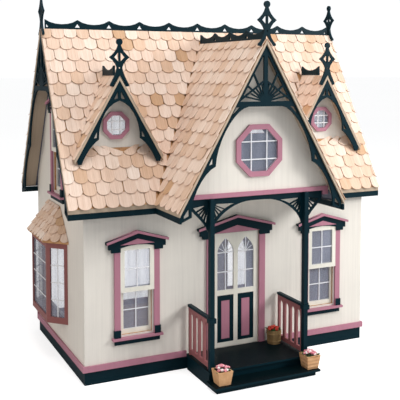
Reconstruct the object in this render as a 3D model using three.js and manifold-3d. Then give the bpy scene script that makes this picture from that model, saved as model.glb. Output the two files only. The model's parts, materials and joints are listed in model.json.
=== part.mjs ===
// A wooden dollhouse at one-twelfth scale: plywood walls and floors on a raised foundation, a steep
// shingled roof with a cross gable and two dormers, fretwork trim, a porch, a bay window, a front door
// that swings, windows whose lower sashes slide, and loose flower pots. The back is open.
// Millimetres. +X is to the right of someone facing the front, +Y goes from the front to the back and
// +Z is up. While it is built, x = 0 is the middle of the front, y = 0 the outer face of the front wall
// and z = 0 the ground. The last lines move the origin to the middle of the footprint.
import * as THREE from "three";
import { mergeVertices } from "three/addons/utils/BufferGeometryUtils.js";
import { ConvexGeometry } from "three/addons/geometries/ConvexGeometry.js";
import Module from "manifold-3d";

const wasm = await Module();
wasm.setup();

// ---- Driving dimensions ----
const houseWidth = 500;
const houseDepth = 280;
const ply = 3.2; // walls, floors, roof boards and most trim
const seat = 0.3; // glue line between pieces that touch
const foundationHeight = 20.5;
const foundationThick = 6;
const bandHeight = 9;
const bandProud = 3;
const backLipHeight = 13;

const upperFloorHeight = 236;
const partitionX = 84;
const archWidth = 74;
const archRise = 178;

const pitch = THREE.MathUtils.degToRad(60.4);
const rise = Math.tan(pitch);
const boardDrop = ply / Math.cos(pitch); // a roof board measured straight down
const eaveTop = 267.5; // top of the roof boards at the eaves
const eaveOverhang = 12;
const rakeOverhang = 26.4;
const gableDrop = 20.8; // how far the cross ridge lies below the main ridge
const gableReach = 101.8; // front edge of the cross gable's roof
const gableWallReach = 78; // outer face of its wall
const fasciaBottom = 252;
const fretworkRecess = 2.8; // how far the gable's fretwork sits behind the roof's edge
const shingleButt = 3;
const shingleTip = 1.5;
const shingleExposure = 20.8;
const backOpeningWidth = 430;
const backOpeningBottom = 345;
const backOpeningTop = 448;

const dormerInset = 63; // from the house's side to a dormer's middle
const dormerApex = 460.5;
const dormerRun = 70.5;
const dormerFront = 15;
const dormerWallY = 35;

const roundWindowClear = 63; // across the flats of the gable's octagonal opening
const roundWindowHeight = 349;
const dormerWindowClear = 30;
const dormerWindowHeight = 385;

const doorMiddle = 3;
const doorWidth = 82;
const doorHeight = 185;
const doorGap = 0.8;
const pinRadius = 0.7;
const pinLength = 2.4;
const pinClearance = 0.25;
const sillHeight = 66; // top of the window sills
const windowInset = 83; // from the house's side to a front window's middle
const sashWidth = 55;
const sashSplit = 134.5 - sillHeight; // foot of the upper sash above the sill
const sashHead = 207 - sillHeight; // crown of the upper sash above the sill
const sashLap = 6.5; // overlap of the two sashes
const openingInset = 3.2; // how far a sash laps the edge of the wall opening
const sideWindowLift = 202;
const sashTravel = 58;
const paneThick = 1;
const paneLap = 1.2; // how much wider than its ring's opening an octagonal pane is
const barWidth = 1.6;

const bayMiddle = houseDepth / 2 + 25;
const bayHalf = 77;
const bayFaceHalf = 50;
const bayReach = 27;
const bayBottom = 66;
const bayTop = 196;
const bayRoofTop = 246;

const deckTop = 24;
const deckHalf = 85;
const deckReach = 87;
const stepTop = 10.5;
const stepReach = 109;
const treadOverhang = 6;
const postX = 81;
const postFront = 86.5;
const postSize = 7;
const postDepth = 8;
const ceilingTop = 278;
const gableFoot = 281; // foot of the cross gable's wall, and top of the beam under it
const beamHalf = 114;
const beamDepth = 8;
const bracketDrop = 41; // how far the brackets reach down the posts from the beam
const railTop = 104;
const railPanel = 3.2;

const potBase = 18.5;
const potRim = 24;
const potHeight = 20.5;
const basketBase = 9.5;
const basketRim = 11.5;
const basketHeight = 22;
const earthDrop = 1.2; // how far the earth lies below a rim

// ---- Values that follow from them ----
const halfWidth = houseWidth / 2;
const ridgeY = houseDepth / 2;
const mainRun = ridgeY + eaveOverhang;
const ridgeTop = eaveTop + mainRun * rise;
const gableTop = ridgeTop - gableDrop;
const gableRun = (gableTop - eaveTop) / rise;
const roofHalf = halfWidth + rakeOverhang;
const eaveBottom = eaveTop - boardDrop;
const floorTop = foundationHeight + seat + ply;
const wallFoot = foundationHeight + seat;
const shingleDrop = shingleButt / Math.cos(pitch); // a course's butt measured straight up
const dormerX = halfWidth - dormerInset;
const windowX = halfWidth - windowInset;
const bandTop = foundationHeight + bandHeight;
const leafFoot = deckTop + doorGap;
const far = 2000;

const paint = {
  cream: [0xd9d4c4, 0.55],
  green: [0x17404a, 0.5],
  mauve: [0xb4758a, 0.5],
  rust: [0x86483f, 0.55],
  bareWood: [0xc48a52, 0.7],
  shingle: [0xe6c7a6, 0.8],
  terracotta: [0xcf9a66, 0.75],
  twig: [0x9a7a44, 0.85],
};

// ---- Solids ----
// A closed three.js geometry as a solid that can be joined and cut.
function solid(geometry) {
  const bare = geometry.clone();
  bare.deleteAttribute("normal");
  bare.deleteAttribute("uv");
  const merged = mergeVertices(bare, 1e-4);
  return new wasm.Manifold(
    new wasm.Mesh({
      numProp: 3,
      vertProperties: merged.attributes.position.array,
      triVerts: new Uint32Array(merged.index.array),
    }),
  );
}

function box(x0, x1, y0, y1, z0, z1) {
  const shape = new THREE.BoxGeometry(Math.abs(x1 - x0), Math.abs(y1 - y0), Math.abs(z1 - z0));
  return solid(shape.translate((x0 + x1) / 2, (y0 + y1) / 2, (z0 + z1) / 2));
}

// A slab of an outline in x and y between two heights, before it is turned.
function slab(outline, z0, z1) {
  const shape = new THREE.Shape(outline.map(([a, b]) => new THREE.Vector2(a, b)));
  return new THREE.ExtrudeGeometry(shape, { depth: z1 - z0, bevelEnabled: false }).translate(0, 0, z0);
}

// A flat board: its outline is in x and y, and it lies between two heights.
function boardXY(outline, z0, z1, holes = []) {
  return cut(solid(slab(outline, z0, z1)), ...holes.map((hole) => solid(slab(hole, z0 - 1, z1 + 1))));
}

// A board that stands across the house: its outline is in x and z, and it lies between two depths.
function boardXZ(outline, y0, y1, holes = []) {
  const make = (line, from, to) => solid(slab(line, -to, -from).rotateX(Math.PI / 2));
  return cut(make(outline, y0, y1), ...holes.map((hole) => make(hole, y0 - 1, y1 + 1)));
}

// A board that stands along the house: its outline is in y and z, and it lies between two widths.
function boardYZ(outline, x0, x1, holes = []) {
  const turn = new THREE.Matrix4().makeBasis(
    new THREE.Vector3(0, 1, 0),
    new THREE.Vector3(0, 0, 1),
    new THREE.Vector3(1, 0, 0),
  );
  const make = (line, from, to) => solid(slab(line, from, to).applyMatrix4(turn));
  return cut(make(outline, x0, x1), ...holes.map((hole) => make(hole, x0 - 1, x1 + 1)));
}

// The flat-sided solid that just holds a set of corners.
function hull(corners) {
  return solid(new ConvexGeometry(corners.map(([x, y, z]) => new THREE.Vector3(x, y, z))));
}

function join(...parts) {
  return parts.reduce((whole, part) => whole.add(part));
}

function cut(whole, ...parts) {
  return parts.reduce((left, part) => left.subtract(part), whole);
}

function piece(name, body, [colour, roughness]) {
  const made = body.getMesh();
  const geometry = new THREE.BufferGeometry();
  geometry.setAttribute("position", new THREE.BufferAttribute(made.vertProperties, 3));
  geometry.setIndex(new THREE.BufferAttribute(made.triVerts, 1));
  const flat = geometry.toNonIndexed();
  flat.computeVertexNormals();
  const material = new THREE.MeshStandardMaterial({ color: colour, roughness, metalness: 0 });
  const mesh = new THREE.Mesh(flat, material);
  mesh.name = name;
  return mesh;
}

// ---- Outlines ----
function rectangle(a0, a1, b0, b1) {
  return [[a0, b0], [a1, b0], [a1, b1], [a0, b1]];
}

// Points along a cubic curve, its start left out.
function curve(from, handle1, handle2, to, steps = 5) {
  const points = [from, handle1, handle2, to].map((p) => new THREE.Vector2(...p));
  const line = new THREE.CubicBezierCurve(...points);
  return line.getPoints(steps).slice(1).map((p) => [p.x, p.y]);
}

function arc(middleA, middleB, radiusA, radiusB, start, end, steps) {
  return Array.from({ length: steps + 1 }, (_, i) => {
    const angle = THREE.MathUtils.degToRad(start + ((end - start) * i) / steps);
    return [middleA + radiusA * Math.cos(angle), middleB + radiusB * Math.sin(angle)];
  });
}

// A right half, listed from its lowest point round to the middle line, and its mirror image.
function mirrored(half) {
  const other = half.filter(([a]) => a > 1e-6).reverse().map(([a, b]) => [-a, b]);
  return [...half, ...other];
}

function moved(outline, a, b) {
  return outline.map(([p, q]) => [p + a, q + b]);
}

function flipped(outline) {
  return outline.map(([a, b]) => [-a, b]);
}

function octagon(middleA, middleB, acrossFlats) {
  const radius = acrossFlats / 2 / Math.cos(Math.PI / 8);
  return arc(middleA, middleB, radius, radius, 22.5, 337.5, 7);
}

// ---- Base and floors ----
function foundation() {
  const outer = rectangle(-halfWidth, halfWidth, 0, houseDepth);
  const t = foundationThick;
  const inner = rectangle(t - halfWidth, halfWidth - t, t, houseDepth - t);
  return piece("foundation", boardXY(outer, 0, foundationHeight, [inner]), paint.green);
}

// The mauve band covers the foot of the walls, stops either side of the porch and closes the floor's
// back edge with a low lip.
function waterTable() {
  const inside = seat;
  const outside = seat + bandProud;
  const ring = cut(
    box(-halfWidth - outside, halfWidth + outside, -outside, houseDepth + outside, foundationHeight, bandTop),
    box(-halfWidth - inside, halfWidth + inside, -inside, houseDepth + inside, 0, far),
    box(-deckHalf - seat, deckHalf + seat, -far, ridgeY, 0, far),
  );
  const lipTop = foundationHeight + backLipHeight;
  const y0 = houseDepth + inside;
  const lip = box(-halfWidth - outside, halfWidth + outside, y0, y0 + bandProud, foundationHeight, lipTop);
  return piece("water_table", join(ring, lip), paint.mauve);
}

function groundFloor() {
  const x = halfWidth - ply - seat;
  const board = box(-x, x, ply + seat, houseDepth, wallFoot, floorTop);
  return piece("ground_floor", board, paint.bareWood);
}

function upperFloor() {
  const x = halfWidth - ply - seat;
  const stairWell = box(partitionX - 78, partitionX - 12, 170, 262, 0, far);
  const board = box(-x, x, ply + seat, houseDepth, upperFloorHeight - ply, upperFloorHeight);
  return piece("upper_floor", cut(board, stairWell), paint.bareWood);
}

// ---- Walls ----
// The opening behind a pair of sashes, its head a flat arch.
function windowOpening(middle, lift) {
  const half = sashWidth / 2 - openingInset;
  const foot = sillHeight + lift + openingInset;
  const head = sillHeight + lift + sashHead - 7;
  const arch = curve([half, head - 4], [half / 2, head], [-half / 2, head], [-half, head - 4]);
  return moved([[-half, foot], [half, foot], [half, head - 4], ...arch], middle, 0);
}

// Upright strips inside a wall hold a lower sash against it and let it slide above a small rest.
function sashGuides(middle, lift) {
  const inner = sashWidth / 2 + 0.5;
  const outer = inner + 2.4;
  const foot = sillHeight + lift;
  const top = foot + sashSplit + sashLap + sashTravel + 2;
  const back = 2 * ply + 1.9;
  const strips = [-1, 1].flatMap((side) => [
    box(middle + side * inner, middle + side * outer, ply - 0.4, back, foot, top),
    box(middle + side * (inner - 1.4), middle + side * outer, back - 1, back, foot, top),
  ]);
  return join(...strips, box(middle - outer, middle + outer, ply - 0.4, back, foot - 2.5, foot - seat));
}

function frontWall() {
  const top = eaveBottom + eaveOverhang * rise - seat;
  const openingHalf = doorWidth / 2 + doorGap;
  const leafHead = leafFoot + doorHeight;
  const doorway = rectangle(doorMiddle - openingHalf, doorMiddle + openingHalf, deckTop, leafHead + doorGap);
  const holes = [doorway, windowOpening(-windowX, 0), windowOpening(windowX, 0)];
  const pinX = doorMiddle - doorWidth / 2 + ply / 2;
  const drill = (z0, z1) => {
    const bit = new THREE.CylinderGeometry(pinRadius + pinClearance, pinRadius + pinClearance, z1 - z0, 12);
    return solid(bit.rotateX(Math.PI / 2).translate(pinX, ply / 2, (z0 + z1) / 2));
  };
  const wall = boardXZ(rectangle(-halfWidth, halfWidth, wallFoot, top), 0, ply, holes);
  const foot = drill(deckTop - pinLength, deckTop + 1);
  const head = drill(leafHead, leafHead + pinLength + 1);
  const guided = join(wall, sashGuides(-windowX, 0), sashGuides(windowX, 0));
  return piece("front_wall", cut(guided, foot, head), paint.cream);
}

// A side wall reaches up under both roof slopes. It is drawn from outside, about the line under the
// ridge; the front end is on the given side.
function sideWallOutline(frontSide) {
  const front = frontSide * (ridgeY - ply - seat);
  const under = (out) => ridgeTop - boardDrop - Math.abs(out) * rise - 2 * seat;
  return [
    [front, wallFoot],
    [-frontSide * ridgeY, wallFoot],
    [-frontSide * ridgeY, under(ridgeY)],
    [0, under(0)],
    [front, under(front)],
  ];
}

function leftWall() {
  const middle = ridgeY - bayMiddle;
  const half = bayHalf - 8;
  const bayOpening = rectangle(middle - half, middle + half, bayBottom + 8, bayTop - 12);
  const wall = boardXZ(sideWallOutline(1), 0, ply, [bayOpening, windowOpening(0, sideWindowLift)]);
  return piece("left_wall", join(wall, sashGuides(0, sideWindowLift)), paint.cream);
}

function rightWall() {
  const wall = boardXZ(sideWallOutline(-1), 0, ply, [windowOpening(0, sideWindowLift)]);
  return piece("right_wall", wall, paint.cream);
}

function groundPartition() {
  const foot = floorTop + seat;
  const top = upperFloorHeight - ply - seat;
  const half = archWidth / 2;
  const middle = ridgeY + 14;
  const head = arc(middle, archRise - half, half, half, 0, 180, 10);
  const archway = [[middle + half, foot - 1], ...head, [middle - half, foot - 1]];
  const outline = rectangle(2 * ply + 6, houseDepth - 8, foot, top);
  return piece("ground_partition", boardYZ(outline, partitionX, partitionX + ply, [archway]), paint.mauve);
}

// ---- Roof ----
// The region below a pair of slopes that meet at an apex, in the plane across their ridge.
function underSlopes(apex, foot) {
  const half = (apex - foot) / rise;
  return [[-half, foot], [half, foot], [0, apex]];
}

// Everything below the front slope's boards, raised square to the slope.
function belowFrontSlope(raised) {
  const up = raised / Math.cos(pitch);
  const front = -eaveOverhang - raised;
  const footHeight = eaveTop + (front + eaveOverhang) * rise + up;
  const back = ridgeY + 200;
  const line = [[front, footHeight], [back, ridgeTop + 200 * rise + up], [back, -50], [front, -50]];
  return boardYZ(line, -far, far);
}

// A slope's boards in section: from the ridge down to the eave, cut upright at both ends.
function slopeSection(run, top, bottomDrop, gapAtRidge) {
  const ridge = top - gapAtRidge * rise;
  const foot = top - run * rise;
  return [[gapAtRidge, ridge], [run, foot], [run, foot - bottomDrop], [gapAtRidge, ridge - bottomDrop]];
}

// Overlapping courses in section. Each course is thick at its butt and thin where the next one covers it.
// The base is how far their underside lies above the boards.
function courseSection(run, top, gapAtRidge, base = seat) {
  const length = run / Math.cos(pitch);
  const atRidge = gapAtRidge / Math.cos(pitch);
  const point = (along, out) => [
    run - along * Math.cos(pitch) + out * Math.sin(pitch),
    top - run * rise + along * Math.sin(pitch) + out * Math.cos(pitch),
  ];
  const outline = [point(0, base)];
  for (let along = 0; along < length - atRidge - 1; along += shingleExposure) {
    const end = Math.min(along + shingleExposure, length - atRidge);
    const wear = (end - along) / shingleExposure;
    outline.push(point(along, shingleButt), point(end, shingleButt - (shingleButt - shingleTip) * wear));
  }
  outline.push(point(length - atRidge, base));
  return outline;
}

function dormerHollow(side, apex, y0) {
  return boardXZ(moved(underSlopes(apex, 200), side * dormerX, 0), y0, ridgeY);
}

// The slot where the upright of a side gable's trim passes through the ridge.
function ridgeSlots() {
  const half = 2.6;
  const inner = roofHalf - ply - 2 * seat;
  const slot = (x0, x1) => box(x0, x1, ridgeY - half, ridgeY + half, ridgeTop - 60, far);
  return join(slot(-far, -inner), slot(inner, far));
}

function frontRoof() {
  const section = slopeSection(mainRun, ridgeTop, boardDrop, seat / 2);
  const board = boardYZ(moved(flipped(section), ridgeY, 0), -roofHalf, roofHalf);
  const gableHole = boardXZ(underSlopes(gableTop - boardDrop, 100), -far, ridgeY);
  const holes = [-1, 1].map((side) => dormerHollow(side, dormerApex - 2 * boardDrop, dormerWallY + ply + 8));
  return piece("front_roof", cut(board, gableHole, ...holes, ridgeSlots()), paint.bareWood);
}

// The rear slope's board and its courses are one solid, with an opening that gives access to the attic.
function rearRoof() {
  const section = slopeSection(mainRun, ridgeTop, boardDrop, seat / 2);
  const board = boardYZ(moved(section, ridgeY, 0), -roofHalf, roofHalf);
  const shingles = moved(courseSection(mainRun, ridgeTop, ply / 2 + 2 * seat, -0.5), ridgeY, 0);
  const half = backOpeningWidth / 2;
  const opening = box(-half, half, ridgeY, far, backOpeningBottom, backOpeningTop);
  const whole = join(board, boardYZ(shingles, -roofHalf, roofHalf));
  return piece("rear_roof", cut(whole, opening, ridgeSlots()), paint.shingle);
}

function gableRoof(name, side) {
  const section = slopeSection(gableRun, gableTop, boardDrop, seat / 2);
  const board = boardXZ(side > 0 ? section : flipped(section), -gableReach, ridgeY);
  return piece(name, cut(board, belowFrontSlope(seat)), paint.bareWood);
}

function dormerBoards(side, grow) {
  const outer = slopeSection(dormerRun, dormerApex + grow * 2, boardDrop + grow * 4, 0);
  const right = boardXZ(moved(outer, side * dormerX, 0), dormerFront - grow, ridgeY);
  const left = boardXZ(moved(flipped(outer), side * dormerX, 0), dormerFront - grow, ridgeY);
  return join(right, left);
}

function dormerRoof(name, side) {
  return piece(name, cut(dormerBoards(side, 0), belowFrontSlope(seat)), paint.shingle);
}

function frontShingles() {
  const section = courseSection(mainRun, ridgeTop, ply / 2 + 2 * seat);
  const slab = boardYZ(moved(flipped(section), ridgeY, 0), -roofHalf, roofHalf);
  const gable = boardXZ(underSlopes(gableTop + 2 * seat, 100), -far, ridgeY);
  const dormers = [-1, 1].flatMap((side) => [
    dormerHollow(side, dormerApex + 2 * seat, dormerWallY - seat),
    dormerBoards(side, seat),
  ]);
  return piece("front_shingles", cut(slab, gable, ...dormers, ridgeSlots()), paint.shingle);
}

function gableShingles(name, side) {
  const section = courseSection(gableRun, gableTop, seat);
  const slab = boardXZ(side > 0 ? section : flipped(section), -gableReach, ridgeY);
  return piece(name, cut(slab, belowFrontSlope(shingleButt + 2 * seat)), paint.shingle);
}

function eaveTrim(name, side) {
  const top = eaveBottom - seat;
  const inner = gableRun - ply;
  const front = box(side * roofHalf, side * inner, -eaveOverhang, ply - eaveOverhang, fasciaBottom, top);
  const turn = box(side * gableRun, side * inner, -gableReach, ply - eaveOverhang, fasciaBottom, top);
  return piece(name, join(front, turn), paint.green);
}

function rearEaveTrim() {
  const y = houseDepth + eaveOverhang;
  const strip = box(-roofHalf, roofHalf, y - ply, y, fasciaBottom, eaveBottom - seat);
  return piece("eave_trim_rear", strip, paint.green);
}

// ---- Gable and dormer walls ----
function gableWall() {
  const outline = underSlopes(gableTop - boardDrop - seat, gableFoot + seat);
  const window = octagon(0, roundWindowHeight, roundWindowClear + paneLap + 4 * seat);
  const wall = boardXZ(outline, -gableWallReach, ply - gableWallReach, [window]);
  return piece("gable_wall", wall, paint.cream);
}

// The porch ceiling is the floor of the cross gable. Its ends turn up beside the beam and carry a mauve
// strip that covers the foot of the gable's wall.
function porchCeiling() {
  const half = (gableTop - boardDrop - ceilingTop) / rise - 2;
  const behind = ply - gableWallReach + seat;
  const front = -gableWallReach - seat;
  const stripHalf = half - 5;
  const board = box(-half, half, behind, -seat, ceilingTop - ply, ceilingTop);
  const strip = box(-stripHalf, stripHalf, front - 3, front, gableFoot + seat, gableFoot + 7);
  const ends = [-1, 1].flatMap((side) => [
    box(side * (beamHalf + seat), side * stripHalf, front - 3, behind + 1, ceilingTop - ply, ceilingTop),
    box(side * (beamHalf + seat), side * stripHalf, front - 3, front, ceilingTop - ply, gableFoot + 1),
  ]);
  return piece("porch_ceiling", join(board, strip, ...ends), paint.mauve);
}

function dormerWall(name, side) {
  const outline = moved(underSlopes(dormerApex - boardDrop - seat, 200), side * dormerX, 0);
  const window = octagon(side * dormerX, dormerWindowHeight, dormerWindowClear + paneLap + 4 * seat);
  const wall = boardXZ(outline, dormerWallY, dormerWallY + ply, [window]);
  return piece(name, cut(wall, belowFrontSlope(seat)), paint.cream);
}

// An octagonal window: a ring on the wall's face, and behind it a thin pane with two bars each way that
// sits in the wall's hole.
function octagonWindow(name, across, clear) {
  const ring = boardXZ(octagon(0, 0, across), 0, ply, [octagon(0, 0, clear)]);
  const glass = octagon(0, 0, clear + paneLap);
  const pane = boardXZ(glass, ply - 0.3, ply + paneThick + seat);
  const reach = clear / 2 + 0.4;
  const bars = [-1, 1].flatMap((side) => {
    const low = (side * clear) / 4.7 - barWidth / 2;
    const high = low + barWidth;
    return [box(low, high, 2, ply, -reach, reach), box(-reach, reach, 2, ply, low, high)];
  });
  const inside = boardXZ(octagon(0, 0, clear + 1), 0, ply);
  return piece(name, join(ring, pane, join(...bars).intersect(inside)), paint.mauve);
}

// ---- Fretwork ----
// The finial over an apex, drawn with the apex of the boards at the origin. Its foot clears the slopes
// by a height at the notch.
function finialOutline(notch) {
  const right = [
    [9.6, notch - 9.6 * rise],
    [14.6, notch - 9.6 * rise + 0.8],
    [14.6, notch - 9.6 * rise + 3.6],
    ...curve([14.6, notch - 9.6 * rise + 3.6], [9.5, -3], [5.5, 4], [4.2, 12], 4),
    ...curve([4.2, 12], [5, 18], [10, 24], [16, 28], 3),
    ...curve([16, 28], [9, 33], [4, 39], [2.3, 46], 4),
    ...arc(0, 51, 5, 5, -62, 90, 6),
  ];
  const outline = mirrored(right);
  return [[0, notch], ...outline];
}

function finialHoles() {
  const window = [[1.6, 21], [8.5, 28], [1.6, 36]];
  return [window, flipped(window), arc(0, 12, 1.5, 1.5, 0, 300, 5)];
}

function finial(name, notch) {
  return piece(name, boardXZ(finialOutline(notch), 0, ply, finialHoles()), paint.green);
}

// A cresting stands on a ridge: peaks joined by hollow curves, with a small triangle pierced under each.
function crestingOutline(length, peaks, lowHeight, peakHeight) {
  const span = length / peaks;
  const outline = [[0, 0], [length, 0]];
  for (let i = peaks; i > 0; i -= 1) {
    const a = i * span;
    const b = a - span;
    const low = lowHeight - 1;
    const sag = curve([a, peakHeight], [a - span / 4, low], [b + span / 4, low], [b, peakHeight], 6);
    outline.push(...(i === peaks ? [[a, peakHeight]] : []), ...sag);
  }
  return outline;
}

function crestingHoles(length, peaks, peakHeight) {
  const span = length / peaks;
  const inner = Array.from({ length: peaks - 1 }, (_, i) => {
    const a = (i + 1) * span;
    return [[a - 4.5, 3.2], [a + 4.5, 3.2], [a, peakHeight - 6]];
  });
  const ends = [[[2, 3.2], [6, 3.2], [2, peakHeight - 6.5]]];
  ends.push(ends[0].map(([a, b]) => [length - a, b]));
  return [...inner, ...ends];
}

function cresting(name, length, peaks) {
  const outline = crestingOutline(length, peaks, 6.8, 15.5);
  return piece(name, boardXZ(outline, 0, ply, crestingHoles(length, peaks, 15.5)), paint.green);
}

// A straight bar of fretwork between two points of an outline.
function bar(a, b, width) {
  const [dx, dz] = [b[0] - a[0], b[1] - a[1]];
  const length = Math.hypot(dx, dz);
  const strip = new THREE.BoxGeometry(length, ply, width);
  strip.rotateY(-Math.atan2(dz, dx));
  return solid(strip.translate((a[0] + b[0]) / 2, ply / 2, (a[1] + b[1]) / 2));
}

// Fretwork for a large gable, drawn with the underside of the roof's apex at the origin. An upright and a
// fan of rays stand on a collar beam, an arch hangs under it, and each side has a pierced cusp and foot.
function gableFretwork(run) {
  const line = (x) => -x * rise;
  const edge = run - ply - 2 * seat;
  const foot = line(edge) - 9;
  const cusp = [run * 0.588, line(run * 0.588) - 31.5];
  const neck = [run - 20, line(run - 20) - 21.5];
  const right = [
    [29, -91.5],
    ...curve([29, -91.5], [run * 0.36, -93.5], [cusp[0] - 2, cusp[1] + 37], cusp, 9),
    ...curve(cusp, [cusp[0] + 14, cusp[1] - 4.5], [neck[0] - 5, neck[1] + 26], neck, 6),
    [neck[0], neck[1] - 14.5],
    [edge - 0.6, foot - 5],
    [edge, foot - 3],
    [edge, line(edge)],
    [0, 0],
  ];
  const fan = [[3.2, -16.5], [3.2, -84], [84 / rise - 5.4, -84], [3.9, -16.5]];
  const spandrel = [[42.5, -91.8], [49.5, -92.6], [56.5, -105.5]];
  const eye = [[4.2, 14.5], [10.7, 1.8], [4.2, 3.5]].map(([a, b]) => [cusp[0] + a, cusp[1] + b]);
  const heel = [
    [neck[0] + 4.3, neck[1] - 1],
    [neck[0] + 12.5, neck[1] - 12],
    [neck[0] + 12.5, neck[1] - 16.5],
    [neck[0] + 3.8, neck[1] - 12.5],
  ];
  const holes = [fan, spandrel, eye, heel].flatMap((hole) => [hole, flipped(hole)]);
  const outline = mirrored(right);
  const whole = boardXZ(outline, 0, ply);
  const hub = [0, -84.5];
  const ray = (degrees, length, width) => {
    const angle = THREE.MathUtils.degToRad(degrees);
    return bar(hub, [hub[0] + length * Math.cos(angle), hub[1] + length * Math.sin(angle)], width);
  };
  const rays = [13, 38, 64].flatMap((degrees) => [ray(degrees, 60, 2.3), ray(180 - degrees, 60, 2.3)]);
  const short = [26, 51, 77].flatMap((degrees) => [ray(degrees, 27, 1.9), ray(180 - degrees, 27, 1.9)]);
  const struts = [-1, 1].map((side) => bar([0, -52.5], [side * 44, -83], 2.3));
  const disc = boardXZ(arc(hub[0], hub[1], 8, 8, 0, 180, 8), 0, ply);
  return join(boardXZ(outline, 0, ply, holes), join(...rays, ...short, ...struts, disc).intersect(whole));
}

// The smaller fretwork of a dormer: a pointed arch with a short upright over it.
function dormerFretwork() {
  const line = (x) => -x * rise;
  const edge = dormerRun - 3.5;
  const cusp = [33, -88];
  const inner = [
    ...curve([0, -30], [22, -36], [34, -64], cusp, 7),
    ...curve(cusp, [41, -92], [54, -108], [edge - 7, line(edge) - 6.5], 6),
  ];
  const right = [...inner, [edge - 1.5, line(edge) - 6.5], [edge, line(edge)], [0, 0]];
  const outline = [[0, -30], ...right, ...flipped(right).reverse().filter(([a]) => a < -1e-6)];
  const upper = [[2.2, -15], [2.2, -26.5], [9, -28.5]];
  const lower = [[35.2, -75], [41, -86], [35.6, -85.5]];
  const holes = [upper, lower].flatMap((hole) => [hole, flipped(hole)]);
  return boardXZ(outline, 0, ply, holes);
}

// A side gable's fretwork and finial are cut from one board. Its upright passes through the ridge.
function sideGableTrim(name) {
  const fretwork = gableFretwork(mainRun);
  const under = boardDrop + 2 * seat;
  const holes = finialHoles().map((hole) => moved(hole, 0, under));
  const over = boardXZ(moved(finialOutline(shingleDrop + 2 * seat), 0, under), 0, ply, holes);
  const upright = box(-2.2, 2.2, 0, ply, -26, under + 14);
  return piece(name, join(fretwork, over, upright), paint.green);
}

// ---- Windows and door ----
// A strip of even depth along the top of a pediment.
function pedimentStrip(half, apex, tilt, depth) {
  const end = apex - half * tilt;
  return [[-half, end - depth], [0, apex - depth], [half, end - depth], [half, end], [0, apex], [-half, end]];
}

// The board under a pediment's strip, with two small steps at each end. A notch in its foot clears the
// head of the window or door; it is listed from the middle outwards.
function pedimentBoard(half, apex, tilt, foot, notch) {
  const edge = (x) => apex - x * tilt + 0.5;
  const notchEdge = notch[notch.length - 1][0];
  return mirrored([
    ...notch,
    [notchEdge, foot],
    [half - 8.5, foot],
    [half - 8.5, foot + 5],
    [half - 4, foot + 5],
    [half - 4, edge(half - 4)],
    [0, edge(0)],
  ]);
}

function onWall(outline, thick) {
  return boardXZ(outline, -thick - seat, -seat);
}

// Casing, pediment, sill and fixed upper sash of one window, drawn about the middle of its sill.
function windowTrim(name, lowerFixed) {
  const half = sashWidth / 2;
  const outer = half + 9;
  const tilt = 0.29;
  const crownHalf = 50;
  const crownTop = 162;
  const strip = 4;
  const notch = [[0, sashHead - 0.6], [half / 2, sashHead - 1.4], [half - 0.6, sashHead - 4]];
  const parts = [-1, 1].flatMap((side) => [
    onWall(rectangle(side * (half - 0.3), side * outer, 0, 131), ply),
    onWall(rectangle(side * (half - 0.3), side * (outer + 1), 0, 11.5), ply + 1.6),
  ]);
  parts.push(
    onWall(pedimentStrip(crownHalf, crownTop, tilt, strip), 8),
    onWall(pedimentBoard(crownHalf, crownTop - strip, tilt, 130.5, notch), ply + 1.4),
    onWall(rectangle(-outer - 4, outer + 4, -3.4, 0), 8),
    onWall(rectangle(-outer, outer, -11, -3.3), ply),
    glazedSash(sashSplit, sashHead, true, -ply - seat),
  );
  if (lowerFixed) parts.push(glazedSash(-0.3, sashSplit + 0.5, false, -ply - seat));
  return piece(name, join(...parts), paint.mauve);
}

function sashOutline(foot, head, arched) {
  const half = sashWidth / 2;
  const side = arched ? head - 3.6 : head;
  const bow = () => curve([half, side], [half / 2, head + 1], [-half / 2, head + 1], [-half, side]);
  return [[-half, foot], [half, foot], [half, side], ...(arched ? bow() : [[-half, head]])];
}

// Two bars each way divide a sash into four lights over a thin pane.
function glazedSash(foot, head, arched, y) {
  const stile = 7;
  const x = sashWidth / 2 - stile;
  const z0 = foot + (arched ? stile : 10.5);
  const z1 = head - (arched ? 8.5 : sashLap);
  const frame = boardXZ(sashOutline(foot, head, arched), y, y + ply, [rectangle(-x, x, z0, z1)]);
  const pane = box(-x - 0.3, x + 0.3, y + ply - paneThick - 0.4, y + ply - 0.4, z0 - 0.3, z1 + 0.3);
  const middle = (z0 + z1) / 2;
  const upright = box(-barWidth / 2, barWidth / 2, y + 1, y + ply - 0.6, z0 - 0.3, z1 + 0.3);
  const level = box(-x - 0.3, x + 0.3, y + 1, y + ply - 0.6, middle - barWidth / 2, middle + barWidth / 2);
  return join(frame, pane, upright, level);
}

function lowerSash(name) {
  return piece(name, glazedSash(0, sashSplit + sashLap, false, 0), paint.cream);
}

function doorTrim() {
  const half = doorWidth / 2 + doorGap + seat;
  const head = leafFoot + doorHeight;
  const tilt = 0.258;
  const crownHalf = 69;
  const crownTop = 238.5;
  const strip = 4;
  const foot = crownTop - crownHalf * tilt - 17.5;
  const outer = half + 10.5;
  const casing = (side) => rectangle(side * half, side * outer, deckTop + seat, foot + 1);
  const casings = [-1, 1].map((side) => onWall(casing(side), ply));
  const notch = [[half, head + doorGap]];
  const board = onWall(pedimentBoard(crownHalf, crownTop - strip, tilt, foot, notch), ply + 1.4);
  const crown = onWall(pedimentStrip(crownHalf, crownTop, tilt, strip), 8);
  return piece("door_trim", join(...casings, crown, board), paint.mauve);
}

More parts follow.
